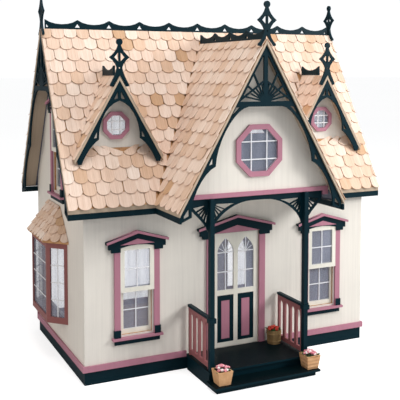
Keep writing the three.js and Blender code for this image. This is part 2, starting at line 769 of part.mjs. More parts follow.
// A pointed gothic light, its two sides each an arc struck from beyond the other.
function gothicLight(x0, x1, foot, spring, apex) {
  const middle = (x0 + x1) / 2;
  const right = curve([x1, spring], [x1, spring + 12], [middle + 5, apex - 6], [middle, apex], 6);
  const left = curve([middle, apex], [middle - 5, apex - 6], [x0, spring + 12], [x0, spring], 6);
  return [[x0, foot], [x1, foot], [x1, spring], ...right, ...left];
}

function frontDoor() {
  const half = doorWidth / 2;
  const lights = [-1, 1].map((side) => {
    const [a, b] = [3.75, 33].map((x) => side * x).sort((p, q) => p - q);
    return gothicLight(a, b, 92.5, 153, 177);
  });
  const leaf = boardXZ(rectangle(-half, half, 0, doorHeight), 0, ply, lights);
  const panes = [-1, 1].map((side) => {
    const [a, b] = [3.2, 33.6].map((x) => side * x).sort((p, q) => p - q);
    return boardXZ(gothicLight(a, b, 92, 153, 177.8), 1.2, 1.2 + paneThick);
  });
  const bars = [-1, 1].flatMap((side) => {
    const x = (side * (3.75 + 33)) / 2;
    const reach = 15;
    return [
      box(x - barWidth / 2, x + barWidth / 2, 0.6, 1.4, 92, 176.4),
      box(x - reach, x + reach, 0.6, 1.4, 121, 121 + barWidth),
      box(x - reach, x + reach, 0.6, 1.4, 152.4, 152.4 + barWidth),
    ];
  });
  const panels = [-1, 1].map((side) => {
    const [a, b] = [11, 25.5].map((x) => side * x).sort((p, q) => p - q);
    return box(a, b, 0.2, 1, 13, 75);
  });
  const sunk = [-1, 1].map((side) => {
    const [a, b] = [3.75, 33].map((x) => side * x).sort((p, q) => p - q);
    return box(a, b, -1, 0.8, 7.5, 84);
  });
  const pin = new THREE.CylinderGeometry(pinRadius, pinRadius, 1, 12).rotateX(Math.PI / 2);
  const pins = [[-pinLength + 0.4, 1], [doorHeight - 1, doorHeight + pinLength]].map(([z0, z1]) =>
    solid(pin.clone().scale(1, 1, z1 - z0).translate(ply / 2 - half, ply / 2, (z0 + z1) / 2)),
  );
  const body = join(cut(leaf, ...sunk), ...panels, ...panes, ...bars, ...pins);
  return piece("front_door", body, paint.cream);
}

// ---- Bay window ----
// The bay in plan, grown outwards, seen from above: it is half of a long octagon against the wall.
function bayPlan(grow, wallGap) {
  const x = -halfWidth - wallGap;
  const slant = grow * 1.3;
  return [
    [x, bayMiddle - bayHalf - slant],
    [-halfWidth - bayReach - grow, bayMiddle - bayFaceHalf - grow * 0.45],
    [-halfWidth - bayReach - grow, bayMiddle + bayFaceHalf + grow * 0.45],
    [x, bayMiddle + bayHalf + slant],
  ];
}

// One glazed face of the bay runs from one corner of its plan to the next: the hole through the board,
// and the thin pane in it with its bars.
function bayGlazing(from, to, uprights, levels) {
  const stile = 6.5;
  const foot = bayBottom + 10;
  const head = bayTop - 9;
  const length = Math.hypot(to[0] - from[0], to[1] - from[1]);
  const half = length / 2 - stile;
  const angle = Math.atan2(to[1] - from[1], to[0] - from[0]);
  const slab = (x0, x1, in0, in1, z0, z1) => {
    const shape = new THREE.BoxGeometry(x1 - x0, in1 - in0, z1 - z0);
    shape.translate((x0 + x1) / 2, (in0 + in1) / 2, (z0 + z1) / 2).rotateZ(angle);
    return solid(shape.translate((from[0] + to[0]) / 2, (from[1] + to[1]) / 2, 0));
  };
  const lap = 0.3;
  const bars = [slab(-half - lap, half + lap, 1.8, 1.8 + paneThick, foot - lap, head + lap)];
  for (let i = 1; i < uprights; i += 1) {
    const x = -half + (2 * half * i) / uprights;
    bars.push(slab(x - barWidth / 2, x + barWidth / 2, 1.3, 1.9, foot - lap, head + lap));
  }
  for (let i = 1; i < levels; i += 1) {
    const z = foot + ((head - foot) * i) / levels;
    bars.push(slab(-half - lap, half + lap, 1.3, 1.9, z - barWidth / 2, z + barWidth / 2));
  }
  return { hole: slab(-half, half, -5, 12, foot, head), pane: join(...bars) };
}

function bayWindow() {
  const plan = bayPlan(0, seat);
  const shell = cut(
    boardXY(plan, bayBottom, bayTop),
    boardXY(bayPlan(-ply, -5), bayBottom + ply + 2, bayTop - ply),
  );
  const wallEnds = [-1, 1].map((side) => [-halfWidth, bayMiddle + side * bayHalf]);
  const faces = [
    bayGlazing(plan[1], wallEnds[0], 2, 4),
    bayGlazing(plan[2], plan[1], 1, 4),
    bayGlazing(wallEnds[1], plan[2], 2, 4),
  ];
  const holed = cut(shell, ...faces.map((face) => face.hole));
  return piece("bay_window", join(holed, ...faces.map((face) => face.pane)), paint.rust);
}

function bayRoof() {
  const under = bayTop + seat;
  const ridgeHalf = 36;
  const eaves = [0, 3.5].flatMap((lift) => bayPlan(6, seat).map(([x, y]) => [x, y, under + lift]));
  const top = [-1, 1].map((side) => [-halfWidth - seat, bayMiddle + side * ridgeHalf, bayRoofTop + 3.5]);
  return piece("bay_roof", hull([...eaves, ...top]), paint.shingle);
}

// ---- Porch ----
function porchDeck() {
  const boardFoot = deckTop - ply;
  const front = -deckReach + 4;
  const skirt = cut(
    box(-deckHalf, deckHalf, front, -seat - bandProud - 1, 0, boardFoot + 0.5),
    box(ply - deckHalf, deckHalf - ply, front + ply, -seat - bandProud - 1 - ply, -1, boardFoot + 0.1),
  );
  const board = box(-deckHalf - 1, deckHalf + 1, -deckReach, -seat, boardFoot, deckTop);
  const narrow = box(-deckHalf + seat, deckHalf - seat, -deckReach, -seat, boardFoot, deckTop);
  const nearWall = box(-far, far, -seat - bandProud - 1, 0, 0, far);
  return piece("porch_deck", join(skirt, cut(board, nearWall), narrow), paint.green);
}

function porchStep() {
  const back = -deckReach + 4 - seat;
  const riser = box(-deckHalf, deckHalf, -stepReach, back, 0, stepTop - ply + 0.2);
  const tread = box(-deckHalf - 5, deckHalf + 5, -stepReach - treadOverhang, back, stepTop - ply, stepTop);
  return piece("porch_step", join(riser, tread), paint.green);
}

function porchPost(name, side) {
  const half = postSize / 2;
  const x = side * postX;
  const shaft = box(x - half, x + half, -postFront, postDepth - postFront, deckTop + seat, gableFoot - seat);
  const collar = box(x - half - 2, x + half + 2, -postFront - 2, postDepth - postFront, railTop - 7, railTop);
  return piece(name, join(shaft, collar), paint.green);
}

// The arched board behind the posts' heads is a beam, a flat arch between the posts and a bracket at each
// outer corner. Every corner is opened up and filled with a fan of rays.
function porchArch() {
  const under = gableFoot - beamDepth;
  const inner = postX - postSize / 2;
  const outer = postX + postSize / 2;
  const tip = [beamHalf - 1, under - 5];
  const foot = under - bracketDrop;
  const archway = curve([inner, foot], [inner - 3, under - 23], [45, under + 1], [12, under + 1], 10);
  const bracket = curve(tip, [tip[0] - 10, tip[1] - 13], [outer + 6, under - 25], [outer, foot], 7);
  const right = [
    [beamHalf, gableFoot],
    [beamHalf, under],
    tip,
    ...bracket,
    [inner, under - bracketDrop],
    ...archway,
  ];
  const outline = [...right, ...flipped(right).reverse()];
  const shrink = (hub, points) => {
    const reach = ([a, b]) => [hub[0] + (a - hub[0]) * 0.84, hub[1] + (b - hub[1]) * 0.84];
    const near = ([a, b]) => {
      const scale = 8 / Math.hypot(a - hub[0], b - hub[1]);
      return [hub[0] + (a - hub[0]) * scale, hub[1] + (b - hub[1]) * scale];
    };
    return [...points.map(reach), near(points[points.length - 1]), near(points[0])];
  };
  const innerHub = [inner + 1, under - 0.5];
  const outerHub = [outer - 1, under - 0.5];
  const holes = [shrink(innerHub, archway.slice(1, 8)), shrink(outerHub, [tip, ...bracket.slice(0, 6)])];
  const ray = (side, hub, degrees) => {
    const angle = THREE.MathUtils.degToRad(degrees);
    const tip = [hub[0] + 60 * Math.cos(angle), hub[1] + 60 * Math.sin(angle)];
    return bar([side * hub[0], hub[1]], [side * tip[0], tip[1]], 1.7);
  };
  const fans = [-1, 1].flatMap((side) => {
    const field = box(0, side * far, -1, far, 0, far);
    const towardsMiddle = [-158, -142, -126, -110].map((degrees) => ray(side, innerHub, degrees));
    const outwards = [-28, -44, -60, -74].map((degrees) => ray(side, outerHub, degrees));
    return join(...towardsMiddle, ...outwards).intersect(field);
  });
  const board = boardXZ(outline, 0, ply, holes.flatMap((hole) => [hole, flipped(hole)]));
  return piece("porch_arch", join(board, join(...fans).intersect(boardXZ(outline, 0, ply))), paint.green);
}

function porchRailing(name, side) {
  const y0 = postDepth - postFront + seat;
  const y1 = -seat - bandProud - 1;
  const foot = deckTop + 3;
  const top = railTop - 4;
  const x = side * postX;
  const count = 4;
  const pitchY = (y1 - y0 - 4) / count;
  const slots = Array.from({ length: count }, (_, i) => {
    const middle = y0 + 2 + pitchY * (i + 0.5);
    const half = pitchY / 2 - 3.4;
    return gothicLight(middle - half, middle + half, foot + 7, top - 20, top - 6);
  });
  const panel = boardYZ(rectangle(y0, y1, foot, top + 0.5), x - railPanel / 2, x + railPanel / 2, slots);
  const handrail = box(x - 3, x + 3, y0, y1, top, railTop);
  const feet = [y0 + 3, y1 - 3].map((y) => box(x - 1.6, x + 1.6, y - 2, y + 2, deckTop + seat, foot + 0.5));
  return piece(name, join(panel, handrail, ...feet), paint.rust);
}

// ---- Loose flower holders ----
// A tapered square pot, full of earth to just below its rim.
function planter(name) {
  const signs = [-0.5, 0.5];
  const square = (across, z) => signs.flatMap((a) => signs.map((b) => [a * across, b * across, z]));
  const outer = hull([...square(potBase, 0), ...square(potRim, potHeight)]);
  const inner = hull([...square(potRim - 4, potHeight - earthDrop), ...square(potRim - 4, potHeight + 1)]);
  return piece(name, cut(outer, inner), paint.terracotta);
}

function flowerBasket() {
  const rim = basketRim - 2;
  const earth = basketHeight - earthDrop;
  const side = [[basketBase, 0], [basketRim, basketHeight]];
  const profile = [[0, 0], ...side, [rim, basketHeight], [rim, earth], [0, earth]];
  const round = new THREE.LatheGeometry(profile.map(([r, z]) => new THREE.Vector2(r, z)), 16);
  return piece("flower_basket", solid(round.rotateX(Math.PI / 2)), paint.twig);
}

// ---- Assembly ----
const house = new THREE.Group();
const quarter = Math.PI / 2;

function place(mesh, x, y, z, turn = 0) {
  mesh.position.set(x, y, z);
  mesh.rotation.z = turn;
  house.add(mesh);
  return mesh;
}

house.add(foundation(), waterTable(), groundFloor(), upperFloor());
house.add(frontWall(), groundPartition());
place(leftWall(), -halfWidth, ridgeY, 0, -quarter);
place(rightWall(), halfWidth, ridgeY, 0, quarter);
house.add(frontRoof(), rearRoof(), gableRoof("gable_roof_left", -1), gableRoof("gable_roof_right", 1));
house.add(dormerRoof("dormer_roof_left", -1), dormerRoof("dormer_roof_right", 1));
house.add(frontShingles());
house.add(gableShingles("gable_shingles_left", -1), gableShingles("gable_shingles_right", 1));
house.add(eaveTrim("eave_trim_left", -1), eaveTrim("eave_trim_right", 1), rearEaveTrim());
house.add(gableWall(), porchCeiling());
house.add(dormerWall("dormer_wall_left", -1), dormerWall("dormer_wall_right", 1));

const proud = ply + seat;
const roundWindow = octagonWindow("gable_octagon_window", roundWindowClear + 15.5, roundWindowClear);
place(roundWindow, 0, -gableWallReach - proud, roundWindowHeight);
for (const [name, side] of [["left", -1], ["right", 1]]) {
  const window = octagonWindow("dormer_octagon_" + name, dormerWindowClear + 12, dormerWindowClear);
  place(window, side * dormerX, dormerWallY - proud, dormerWindowHeight);
}

const fretworkTop = gableTop - boardDrop - 2 * seat;
const fretwork = piece("gable_fretwork", gableFretwork(gableRun), paint.green);
place(fretwork, 0, fretworkRecess - gableReach, fretworkTop);
const sideTrimTop = ridgeTop - boardDrop - 2 * seat;
place(sideGableTrim("side_gable_trim_left"), seat - roofHalf, ridgeY, sideTrimTop, -quarter);
place(sideGableTrim("side_gable_trim_right"), roofHalf - seat, ridgeY, sideTrimTop, quarter);
for (const [name, side] of [["left", -1], ["right", 1]]) {
  const arch = piece("dormer_fretwork_" + name, dormerFretwork(), paint.green);
  place(arch, side * dormerX, dormerFront + 0.6, dormerApex - boardDrop - 2 * seat);
  place(finial("dormer_finial_" + name, 2 * seat), side * dormerX, dormerFront, dormerApex);
}
place(finial("gable_finial", shingleDrop + 2 * seat), 0, -gableReach, gableTop);

// The crestings stand on the ridges, clear of the finials.
const ridgeCrest = 2 * (roofHalf - ply) - 8;
place(cresting("ridge_cresting", ridgeCrest, 10), -ridgeCrest / 2, ridgeY - ply / 2, ridgeTop + seat / 4);
const gableBack = (gableTop - eaveTop - shingleDrop) / rise - eaveOverhang - seat;
const gableCrest = gableBack + gableReach - ply - 3;
place(cresting("gable_cresting", gableCrest, 4), -ply / 2, gableBack, gableTop + 2 * seat, -quarter);
const dormerBack = (dormerApex - eaveTop - shingleDrop) / rise - eaveOverhang - seat;
for (const [name, side] of [["left", -1], ["right", 1]]) {
  const crest = cresting("dormer_cresting_" + name, 53, 1);
  place(crest, side * dormerX - ply / 2, dormerBack, dormerApex + seat, -quarter);
}

for (const [name, side] of [["left", -1], ["right", 1]]) {
  place(windowTrim("front_window_" + name + "_trim", false), side * windowX, 0, sillHeight);
  place(lowerSash("front_window_" + name + "_sash"), side * windowX, ply + seat, sillHeight);
}
const sideSill = sillHeight + sideWindowLift;
place(windowTrim("side_window_left_trim", false), -halfWidth, ridgeY, sideSill, -quarter);
place(lowerSash("side_window_left_sash"), -halfWidth + ply + seat, ridgeY, sideSill, -quarter);
place(windowTrim("side_window_right_trim", true), halfWidth, ridgeY, sideSill, quarter);

const trim = doorTrim();
place(trim, doorMiddle, 0, 0);
place(frontDoor(), doorMiddle, 0, leafFoot);
house.add(bayWindow(), bayRoof());

house.add(porchDeck(), porchStep());
place(porchArch(), 0, postDepth - postFront + seat, 0);
house.add(porchPost("porch_post_left", -1), porchPost("porch_post_right", 1));
house.add(porchRailing("porch_railing_left", -1), porchRailing("porch_railing_right", 1));
place(planter("planter_left"), -71.7, -100, stepTop + seat);
place(planter("planter_right"), 80, -100, stepTop + seat);
place(flowerBasket(), 65, -17, deckTop + seat);

// The origin goes to the middle of the footprint, on the ground.
const bounds = new THREE.Box3().setFromObject(house);
const middle = bounds.getCenter(new THREE.Vector3());
house.position.set(-middle.x, -middle.y, -bounds.min.z);

export default house;
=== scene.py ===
import json

import bpy
import numpy as np
from mathutils import Matrix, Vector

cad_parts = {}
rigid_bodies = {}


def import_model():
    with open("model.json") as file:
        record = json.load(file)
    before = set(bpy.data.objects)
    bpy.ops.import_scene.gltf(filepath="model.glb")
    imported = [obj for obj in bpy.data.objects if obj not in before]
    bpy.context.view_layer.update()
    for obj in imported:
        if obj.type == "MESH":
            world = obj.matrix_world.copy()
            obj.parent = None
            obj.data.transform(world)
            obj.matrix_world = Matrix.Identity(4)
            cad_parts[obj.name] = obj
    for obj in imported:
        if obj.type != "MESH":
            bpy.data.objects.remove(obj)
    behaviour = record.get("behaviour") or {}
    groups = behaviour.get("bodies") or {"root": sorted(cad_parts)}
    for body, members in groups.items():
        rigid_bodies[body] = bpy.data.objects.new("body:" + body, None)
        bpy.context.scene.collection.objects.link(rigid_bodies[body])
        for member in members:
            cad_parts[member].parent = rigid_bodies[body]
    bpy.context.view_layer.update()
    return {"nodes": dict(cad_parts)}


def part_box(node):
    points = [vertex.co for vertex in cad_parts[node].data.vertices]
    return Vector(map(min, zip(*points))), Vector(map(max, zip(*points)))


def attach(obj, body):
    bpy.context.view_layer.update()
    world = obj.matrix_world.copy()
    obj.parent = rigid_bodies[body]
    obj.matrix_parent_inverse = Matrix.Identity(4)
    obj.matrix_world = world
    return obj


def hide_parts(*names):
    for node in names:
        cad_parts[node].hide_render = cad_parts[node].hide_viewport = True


for leftover in list(bpy.data.objects):
    bpy.data.objects.remove(leftover)
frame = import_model()
nodes = frame["nodes"]

# ---- Painted walls ----
# The walls are 3.2 mm plywood, brushed with off-white satin paint outside and dusty grey-mauve inside.
# The sawn edges round the window and door holes are left as bare orange-brown wood.
middle_x = (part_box("left_wall")[0].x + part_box("right_wall")[1].x) / 2
wall_face_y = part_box("front_wall")[0].y
PLACE = np.array([middle_x, wall_face_y, 0.0])


def drawing_units(node):
    """Each face's centre in millimetres from the middle of the front wall's foot, and its normal."""
    mesh = nodes[node].data
    centres = np.empty(len(mesh.polygons) * 3)
    normals = np.empty(len(mesh.polygons) * 3)
    mesh.polygons.foreach_get("center", centres)
    mesh.polygons.foreach_get("normal", normals)
    return (centres.reshape(-1, 3) - PLACE) * 1000, normals.reshape(-1, 3)


def dress(node, materials, choose=None):
    """Gives a node its materials; choose turns face centres and normals into an index for each face."""
    mesh = nodes[node].data
    mesh.materials.clear()
    for material in materials:
        mesh.materials.append(material)
    index = np.zeros(len(mesh.polygons), np.int32)
    if choose:
        index[:] = choose(*drawing_units(node))
    mesh.polygons.foreach_set("material_index", index)
    mesh.update()


def new_material(name):
    """An empty node material with its shader and output joined up."""
    material = bpy.data.materials.new(name)
    material.use_nodes = True
    tree = material.node_tree
    return material, tree, tree.nodes["Principled BSDF"]


def streaks(tree, coordinates, stretch, scale, detail=4.0):
    """Noise drawn out along one direction: the coordinates are scaled unevenly before the noise."""
    mapping = tree.nodes.new("ShaderNodeMapping")
    mapping.inputs["Scale"].default_value = stretch
    tree.links.new(coordinates, mapping.inputs["Vector"])
    noise = tree.nodes.new("ShaderNodeTexNoise")
    noise.inputs["Scale"].default_value = scale
    noise.inputs["Detail"].default_value = detail
    noise.inputs["Roughness"].default_value = 0.6
    tree.links.new(mapping.outputs["Vector"], noise.inputs["Vector"])
    return noise.outputs["Fac"]


def ramp(tree, factor, stops):
    """A colour ramp through the given (position, colour) stops."""
    node = tree.nodes.new("ShaderNodeValToRGB")
    elements = node.color_ramp.elements
    elements[0].position, elements[0].color = stops[0][0], (*stops[0][1], 1)
    elements[1].position, elements[1].color = stops[-1][0], (*stops[-1][1], 1)
    for position, colour in stops[1:-1]:
        element = elements.new(position)
        element.color = (*colour, 1)
    tree.links.new(factor, node.inputs["Fac"])
    return node.outputs["Color"]


def bump(tree, height, distance, strength, shader):
    """Raises the surface by a height field, in metres."""
    node = tree.nodes.new("ShaderNodeBump")
    node.inputs["Distance"].default_value = distance
    node.inputs["Strength"].default_value = strength
    tree.links.new(height, node.inputs["Height"])
    tree.links.new(node.outputs["Normal"], shader.inputs["Normal"])


def mixed(tree, kind, factor, first, second):
    """Blends two colours by a fixed factor."""
    node = tree.nodes.new("ShaderNodeMix")
    node.data_type = "RGBA"
    node.blend_type = kind
    node.inputs["Factor"].default_value = factor
    tree.links.new(first, node.inputs["A"])
    tree.links.new(second, node.inputs["B"])
    return node.outputs["Result"]


def brushed_paint(name, colour, gloss, grain=(260, 260, 9), depth=0.00008, sheen=0.3):
    """Satin paint over plywood: the grain shows as faint streaks, and the film varies in tone and gloss."""
    material, tree, shader = new_material(name)
    place = tree.nodes.new("ShaderNodeTexCoord").outputs["Object"]
    grain_lines = streaks(tree, place, grain, 1.0)
    clouds = streaks(tree, place, (1, 1, 1), 14, 3)
    shade = np.array(colour)
    tone = ramp(tree, grain_lines, [(0.3, shade * 0.95), (0.5, shade), (0.7, np.minimum(shade * 1.03, 1))])
    cloud_tone = ramp(tree, clouds, [(0.25, (0.93, 0.93, 0.94)), (0.75, (1, 1, 1))])
    tree.links.new(mixed(tree, "MULTIPLY", 1, tone, cloud_tone), shader.inputs["Base Color"])
    rough = tree.nodes.new("ShaderNodeMapRange")
    rough.inputs["To Min"].default_value = gloss - 0.08
    rough.inputs["To Max"].default_value = gloss + 0.1
    tree.links.new(clouds, rough.inputs["Value"])
    tree.links.new(rough.outputs["Result"], shader.inputs["Roughness"])
    shader.inputs["Specular IOR Level"].default_value = sheen
    bump(tree, grain_lines, depth, 0.6, shader)
    return material


def bare_plywood(name, dark, middle, light, grain):
    """Unpainted plywood: long noise streaks through three browns, with fine pores as bump."""
    material, tree, shader = new_material(name)
    place = tree.nodes.new("ShaderNodeTexCoord").outputs["Object"]
    broad = streaks(tree, place, grain, 0.35, 3)
    fine = streaks(tree, place, grain, 2.2, 5)
    base = ramp(tree, broad, [(0.3, dark), (0.5, middle), (0.72, light)])
    pores = ramp(tree, fine, [(0.3, (0.78, 0.74, 0.7)), (0.55, (1, 1, 1))])
    tree.links.new(mixed(tree, "MULTIPLY", 0.8, base, pores), shader.inputs["Base Color"])
    shader.inputs["Roughness"].default_value = 0.66
    bump(tree, fine, 0.00012, 0.5, shader)
    return material


cream = brushed_paint("cream_paint", (0.80, 0.765, 0.70), 0.5)
inner_mauve = brushed_paint("inner_wall_paint", (0.37, 0.29, 0.31), 0.6)
orange_wood = bare_plywood("bare_wood", (0.36, 0.17, 0.06), (0.52, 0.27, 0.11), (0.62, 0.36, 0.17),
                           (300, 14, 300))
wall_layers = [cream, inner_mauve, orange_wood]


def front_facing(centre, normal):
    """Outside paint in front, inside paint behind, bare edges where a face turns into a hole."""
    edge = np.abs(normal[:, 1]) < 0.5
    reveal = edge & (np.abs(centre[:, 0]) < 246) & (centre[:, 2] > 40)
    return np.where(reveal, 2, np.where(normal[:, 1] > 0.5, 1, 0))


def gable_facing(centre, normal):
    """The same for a small wall under a gable, whose every edge is bare."""
    return np.where(normal[:, 1] > 0.5, 1, np.where(np.abs(normal[:, 1]) < 0.5, 2, 0))


def side_facing(side):
    """The same three finishes for a wall that faces left or right."""
    def choose(centre, normal):
        edge = np.abs(normal[:, 0]) < 0.5
        inside = (centre[:, 1] > 20) & (centre[:, 1] < 260) & (centre[:, 2] > 70) & (centre[:, 2] < 420)
        hole = edge & inside & (np.abs(centre[:, 1] - 140) < 90)
        sloping = edge & (normal[:, 2] > 0.3)
        return np.where(hole & ~sloping, 2, np.where(normal[:, 0] * side < -0.5, 1, 0))
    return choose


dress("front_wall", wall_layers, front_facing)
for node in ("gable_wall", "dormer_wall_left", "dormer_wall_right"):
    dress(node, wall_layers, gable_facing)
dress("left_wall", wall_layers, side_facing(-1))
dress("right_wall", wall_layers, side_facing(1))
dress("ground_partition", [inner_mauve, orange_wood],
      lambda c, n: np.where((np.abs(n[:, 0]) < 0.5) & (c[:, 1] > 100) & (c[:, 1] < 200), 1, 0))

# ---- Foundation, porch and all green woodwork ----
# The foundation, porch floor and step, posts, arch, fretwork, finials and crestings are cut from plywood.
# They all carry the same dark teal green satin paint; the upward faces of the porch floor and step get a
# near-black copy of it as painted shade.
green = brushed_paint("green_paint", (0.0016, 0.018, 0.027), 0.45, (240, 240, 20), sheen=0.10)
# A near-black copy of the green: painted shade on the upward faces of the porch floor and step.
tread_shade_green = brushed_paint("tread_green_painted_shade", (0.001, 0.006, 0.008), 0.42, (22, 240, 240), sheen=0.06)
for node in nodes:
    if node.startswith(("foundation", "porch_post", "porch_arch", "eave_trim", "side_gable_trim")):
        dress(node, [green])
    if "cresting" in node or "finial" in node or "fretwork" in node:
        dress(node, [green])
# Upward faces take the near-black copy, painted shade; the sides keep the green.
for node in ("porch_deck", "porch_step"):
    dress(node, [tread_shade_green, green], lambda c, n: np.where(n[:, 2] > 0.5, 0, 1))

# ---- Water table, porch ceiling strip and railings ----
# Square strips painted dusty mauve lie along the foot of the walls and of the gable.
# The railing panels are sawn from plywood and carry the mauve paint, darkened towards its look in shade as
# painted shade, under a green handrail.
mauve = brushed_paint("mauve_paint", (0.46, 0.20, 0.27), 0.45, (200, 200, 24))
# The mauve darkened for the railing panels: painted shade.
railing_mauve_painted_shade = brushed_paint("railing_mauve_painted_shade", (0.30, 0.11, 0.115), 0.45, (200, 200, 24))
# The mauve darkened to reddish brown for the bay: painted shade.
bay_shaded_mauve = brushed_paint("rust_paint", (0.27, 0.095, 0.09), 0.45, (240, 240, 20))
dress("water_table", [mauve])
dress("porch_ceiling", [mauve, cream], lambda c, n: np.where((n[:, 2] < -0.5) & (c[:, 1] > -76), 1, 0))
for side in ("left", "right"):
    dress("porch_railing_" + side, [railing_mauve_painted_shade, green], lambda c, n: np.where(c[:, 2] > 99.9, 1, 0))

# ---- Floors ----
# Both floors are bare plywood sheets, the lower on the foundation and the upper between the walls.
# Their grain runs from side to side.
floor_wood = bare_plywood("floor_wood", (0.33, 0.16, 0.06), (0.47, 0.25, 0.11), (0.56, 0.33, 0.16),
                          (14, 300, 300))
for node in ("ground_floor", "upper_floor"):
    dress(node, [floor_wood])

# ---- Roof boards ----
# Plywood boards meet at the ridges. Their undersides and sawn edges are painted a warm taupe outside.
# Inside the attic the same boards are blue grey, so the paint changes colour where the walls stand.
taupe = brushed_paint("taupe_paint", (0.50, 0.40, 0.30), 0.55)


def attic_paint():
    """Taupe in front of the gable's wall and beyond the end walls, blue grey between them."""
    material, tree, shader = new_material("attic_paint")
    place = tree.nodes.new("ShaderNodeTexCoord").outputs["Object"]
    parts = tree.nodes.new("ShaderNodeSeparateXYZ")
    tree.links.new(place, parts.inputs["Vector"])
    beyond = tree.nodes.new("ShaderNodeMath")
    beyond.operation = "ABSOLUTE"
    tree.links.new(parts.outputs["X"], beyond.inputs[0])
    past_end = tree.nodes.new("ShaderNodeMath")
    past_end.operation = "GREATER_THAN"
    past_end.inputs[1].default_value = 0.2485
    tree.links.new(beyond.outputs[0], past_end.inputs[0])
    in_front = tree.nodes.new("ShaderNodeMath")
    in_front.operation = "LESS_THAN"
    in_front.inputs[1].default_value = PLACE[1] - 0.076
    tree.links.new(parts.outputs["Y"], in_front.inputs[0])
    either = tree.nodes.new("ShaderNodeMath")
    either.operation = "MAXIMUM"
    tree.links.new(past_end.outputs[0], either.inputs[0])
    tree.links.new(in_front.outputs[0], either.inputs[1])
    zone = ramp(tree, either.outputs[0], [(0.0, (0.10, 0.115, 0.17)), (1.0, (0.50, 0.40, 0.30))])
    grain_lines = streaks(tree, place, (240, 12, 12), 1.0)
    tone = ramp(tree, grain_lines, [(0.3, (0.85, 0.85, 0.85)), (0.7, (1, 1, 1))])
    tree.links.new(mixed(tree, "MULTIPLY", 1, zone, tone), shader.inputs["Base Color"])
    shader.inputs["Roughness"].default_value = 0.6
    bump(tree, grain_lines, 0.00008, 0.5, shader)
    return material


attic = attic_paint()
for node in ("front_roof", "rear_roof", "gable_roof_left", "gable_roof_right"):
    dress(node, [attic, orange_wood, taupe],
          lambda c, n: np.where(n[:, 2] < -0.3, 0, np.where(n[:, 2] > 0.3, 1, 2)))
for side in ("left", "right"):
    dress("dormer_roof_" + side, [taupe])

# ---- Shingles ----
# Thin unpainted wood shingles with rounded butts, glued on in courses from the eaves up, each course
# breaking joint over the one below. Every shingle is its own tapered piece with its own tone and grain.
MM = 0.001
EXPOSURE = 20.8
SHINGLE_WIDTH = 20.9
PITCH = np.radians(60.4)
RISE = np.tan(PITCH)
EAVE_TOP = 267.5
EAVE_OVERHANG = 12.0
RIDGE_Y = 140.0
RIDGE_TOP = EAVE_TOP + (RIDGE_Y + EAVE_OVERHANG) * RISE
GABLE_TOP = RIDGE_TOP - 20.8
GABLE_RUN = (GABLE_TOP - EAVE_TOP) / RISE
ROOF_HALF = 276.4
DORMER_X = 187.0
DORMER_APEX = 460.5
DORMER_RUN = 70.5
chance = np.random.default_rng(7)


def valley_y(z):
    """How far back the main front slope is at a height."""
    return (z - EAVE_TOP) / RISE - EAVE_OVERHANG


def solid_sheaf(name, points, material, body, uv=None, tone=None):
    """Closed bars on a grid: points is (copies, rows, corners, 3) in drawing millimetres, each row of
    corners goes once round a section, and flat ends close every copy. A copy whose walls sum to a
    volume (a x b . c + a x c . d) / 6 below zero has its faces turned round, so all of them face out."""
    copies, rows, corners, _ = points.shape
    one = np.arange(rows * corners).reshape(rows, corners)
    a, b = one[:-1], one[1:]
    walls = np.stack([a, np.roll(a, -1, 1), np.roll(b, -1, 1), b], -1).reshape(-1, 4)
    starts = (np.arange(copies) * rows * corners)[:, None, None]
    quads = walls[None] + starts
    ends = np.stack([one[0][::-1], one[-1]])[None] + starts
    centred = points.reshape(copies, -1, 3) - points.mean((1, 2))[:, None]
    p, q, r, s = (centred[:, walls[:, i]] for i in range(4))
    inside_out = ((np.cross(p, q) * r + np.cross(p, r) * s).sum((1, 2)) < 0)[:, None, None]
    quads = np.where(inside_out, quads[..., ::-1], quads)
    ends = np.where(inside_out, ends[..., ::-1], ends)
    faces = quads.reshape(-1, 4).tolist() + ends.reshape(-1, corners).tolist()
    mesh = bpy.data.meshes.new(name)
    mesh.from_pydata((points.reshape(-1, 3) * MM + PLACE).tolist(), [], faces)
    loops = np.empty(len(mesh.loops), np.int32)
    mesh.loops.foreach_get("vertex_index", loops)
    if uv is not None:
        mesh.uv_layers.new(name="grain")
        mesh.uv_layers["grain"].data.foreach_set("uv", uv.reshape(-1, 2)[loops].ravel())
    if tone is not None:
        held = mesh.attributes.new("tone", "FLOAT", "POINT")
        held.data.foreach_set("value", np.repeat(tone, rows * corners).astype(np.float32))
    mesh.materials.append(material)
    mesh.update()
    made = bpy.data.objects.new(name, mesh)
    bpy.context.scene.collection.objects.link(made)
    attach(made, body)
    return made


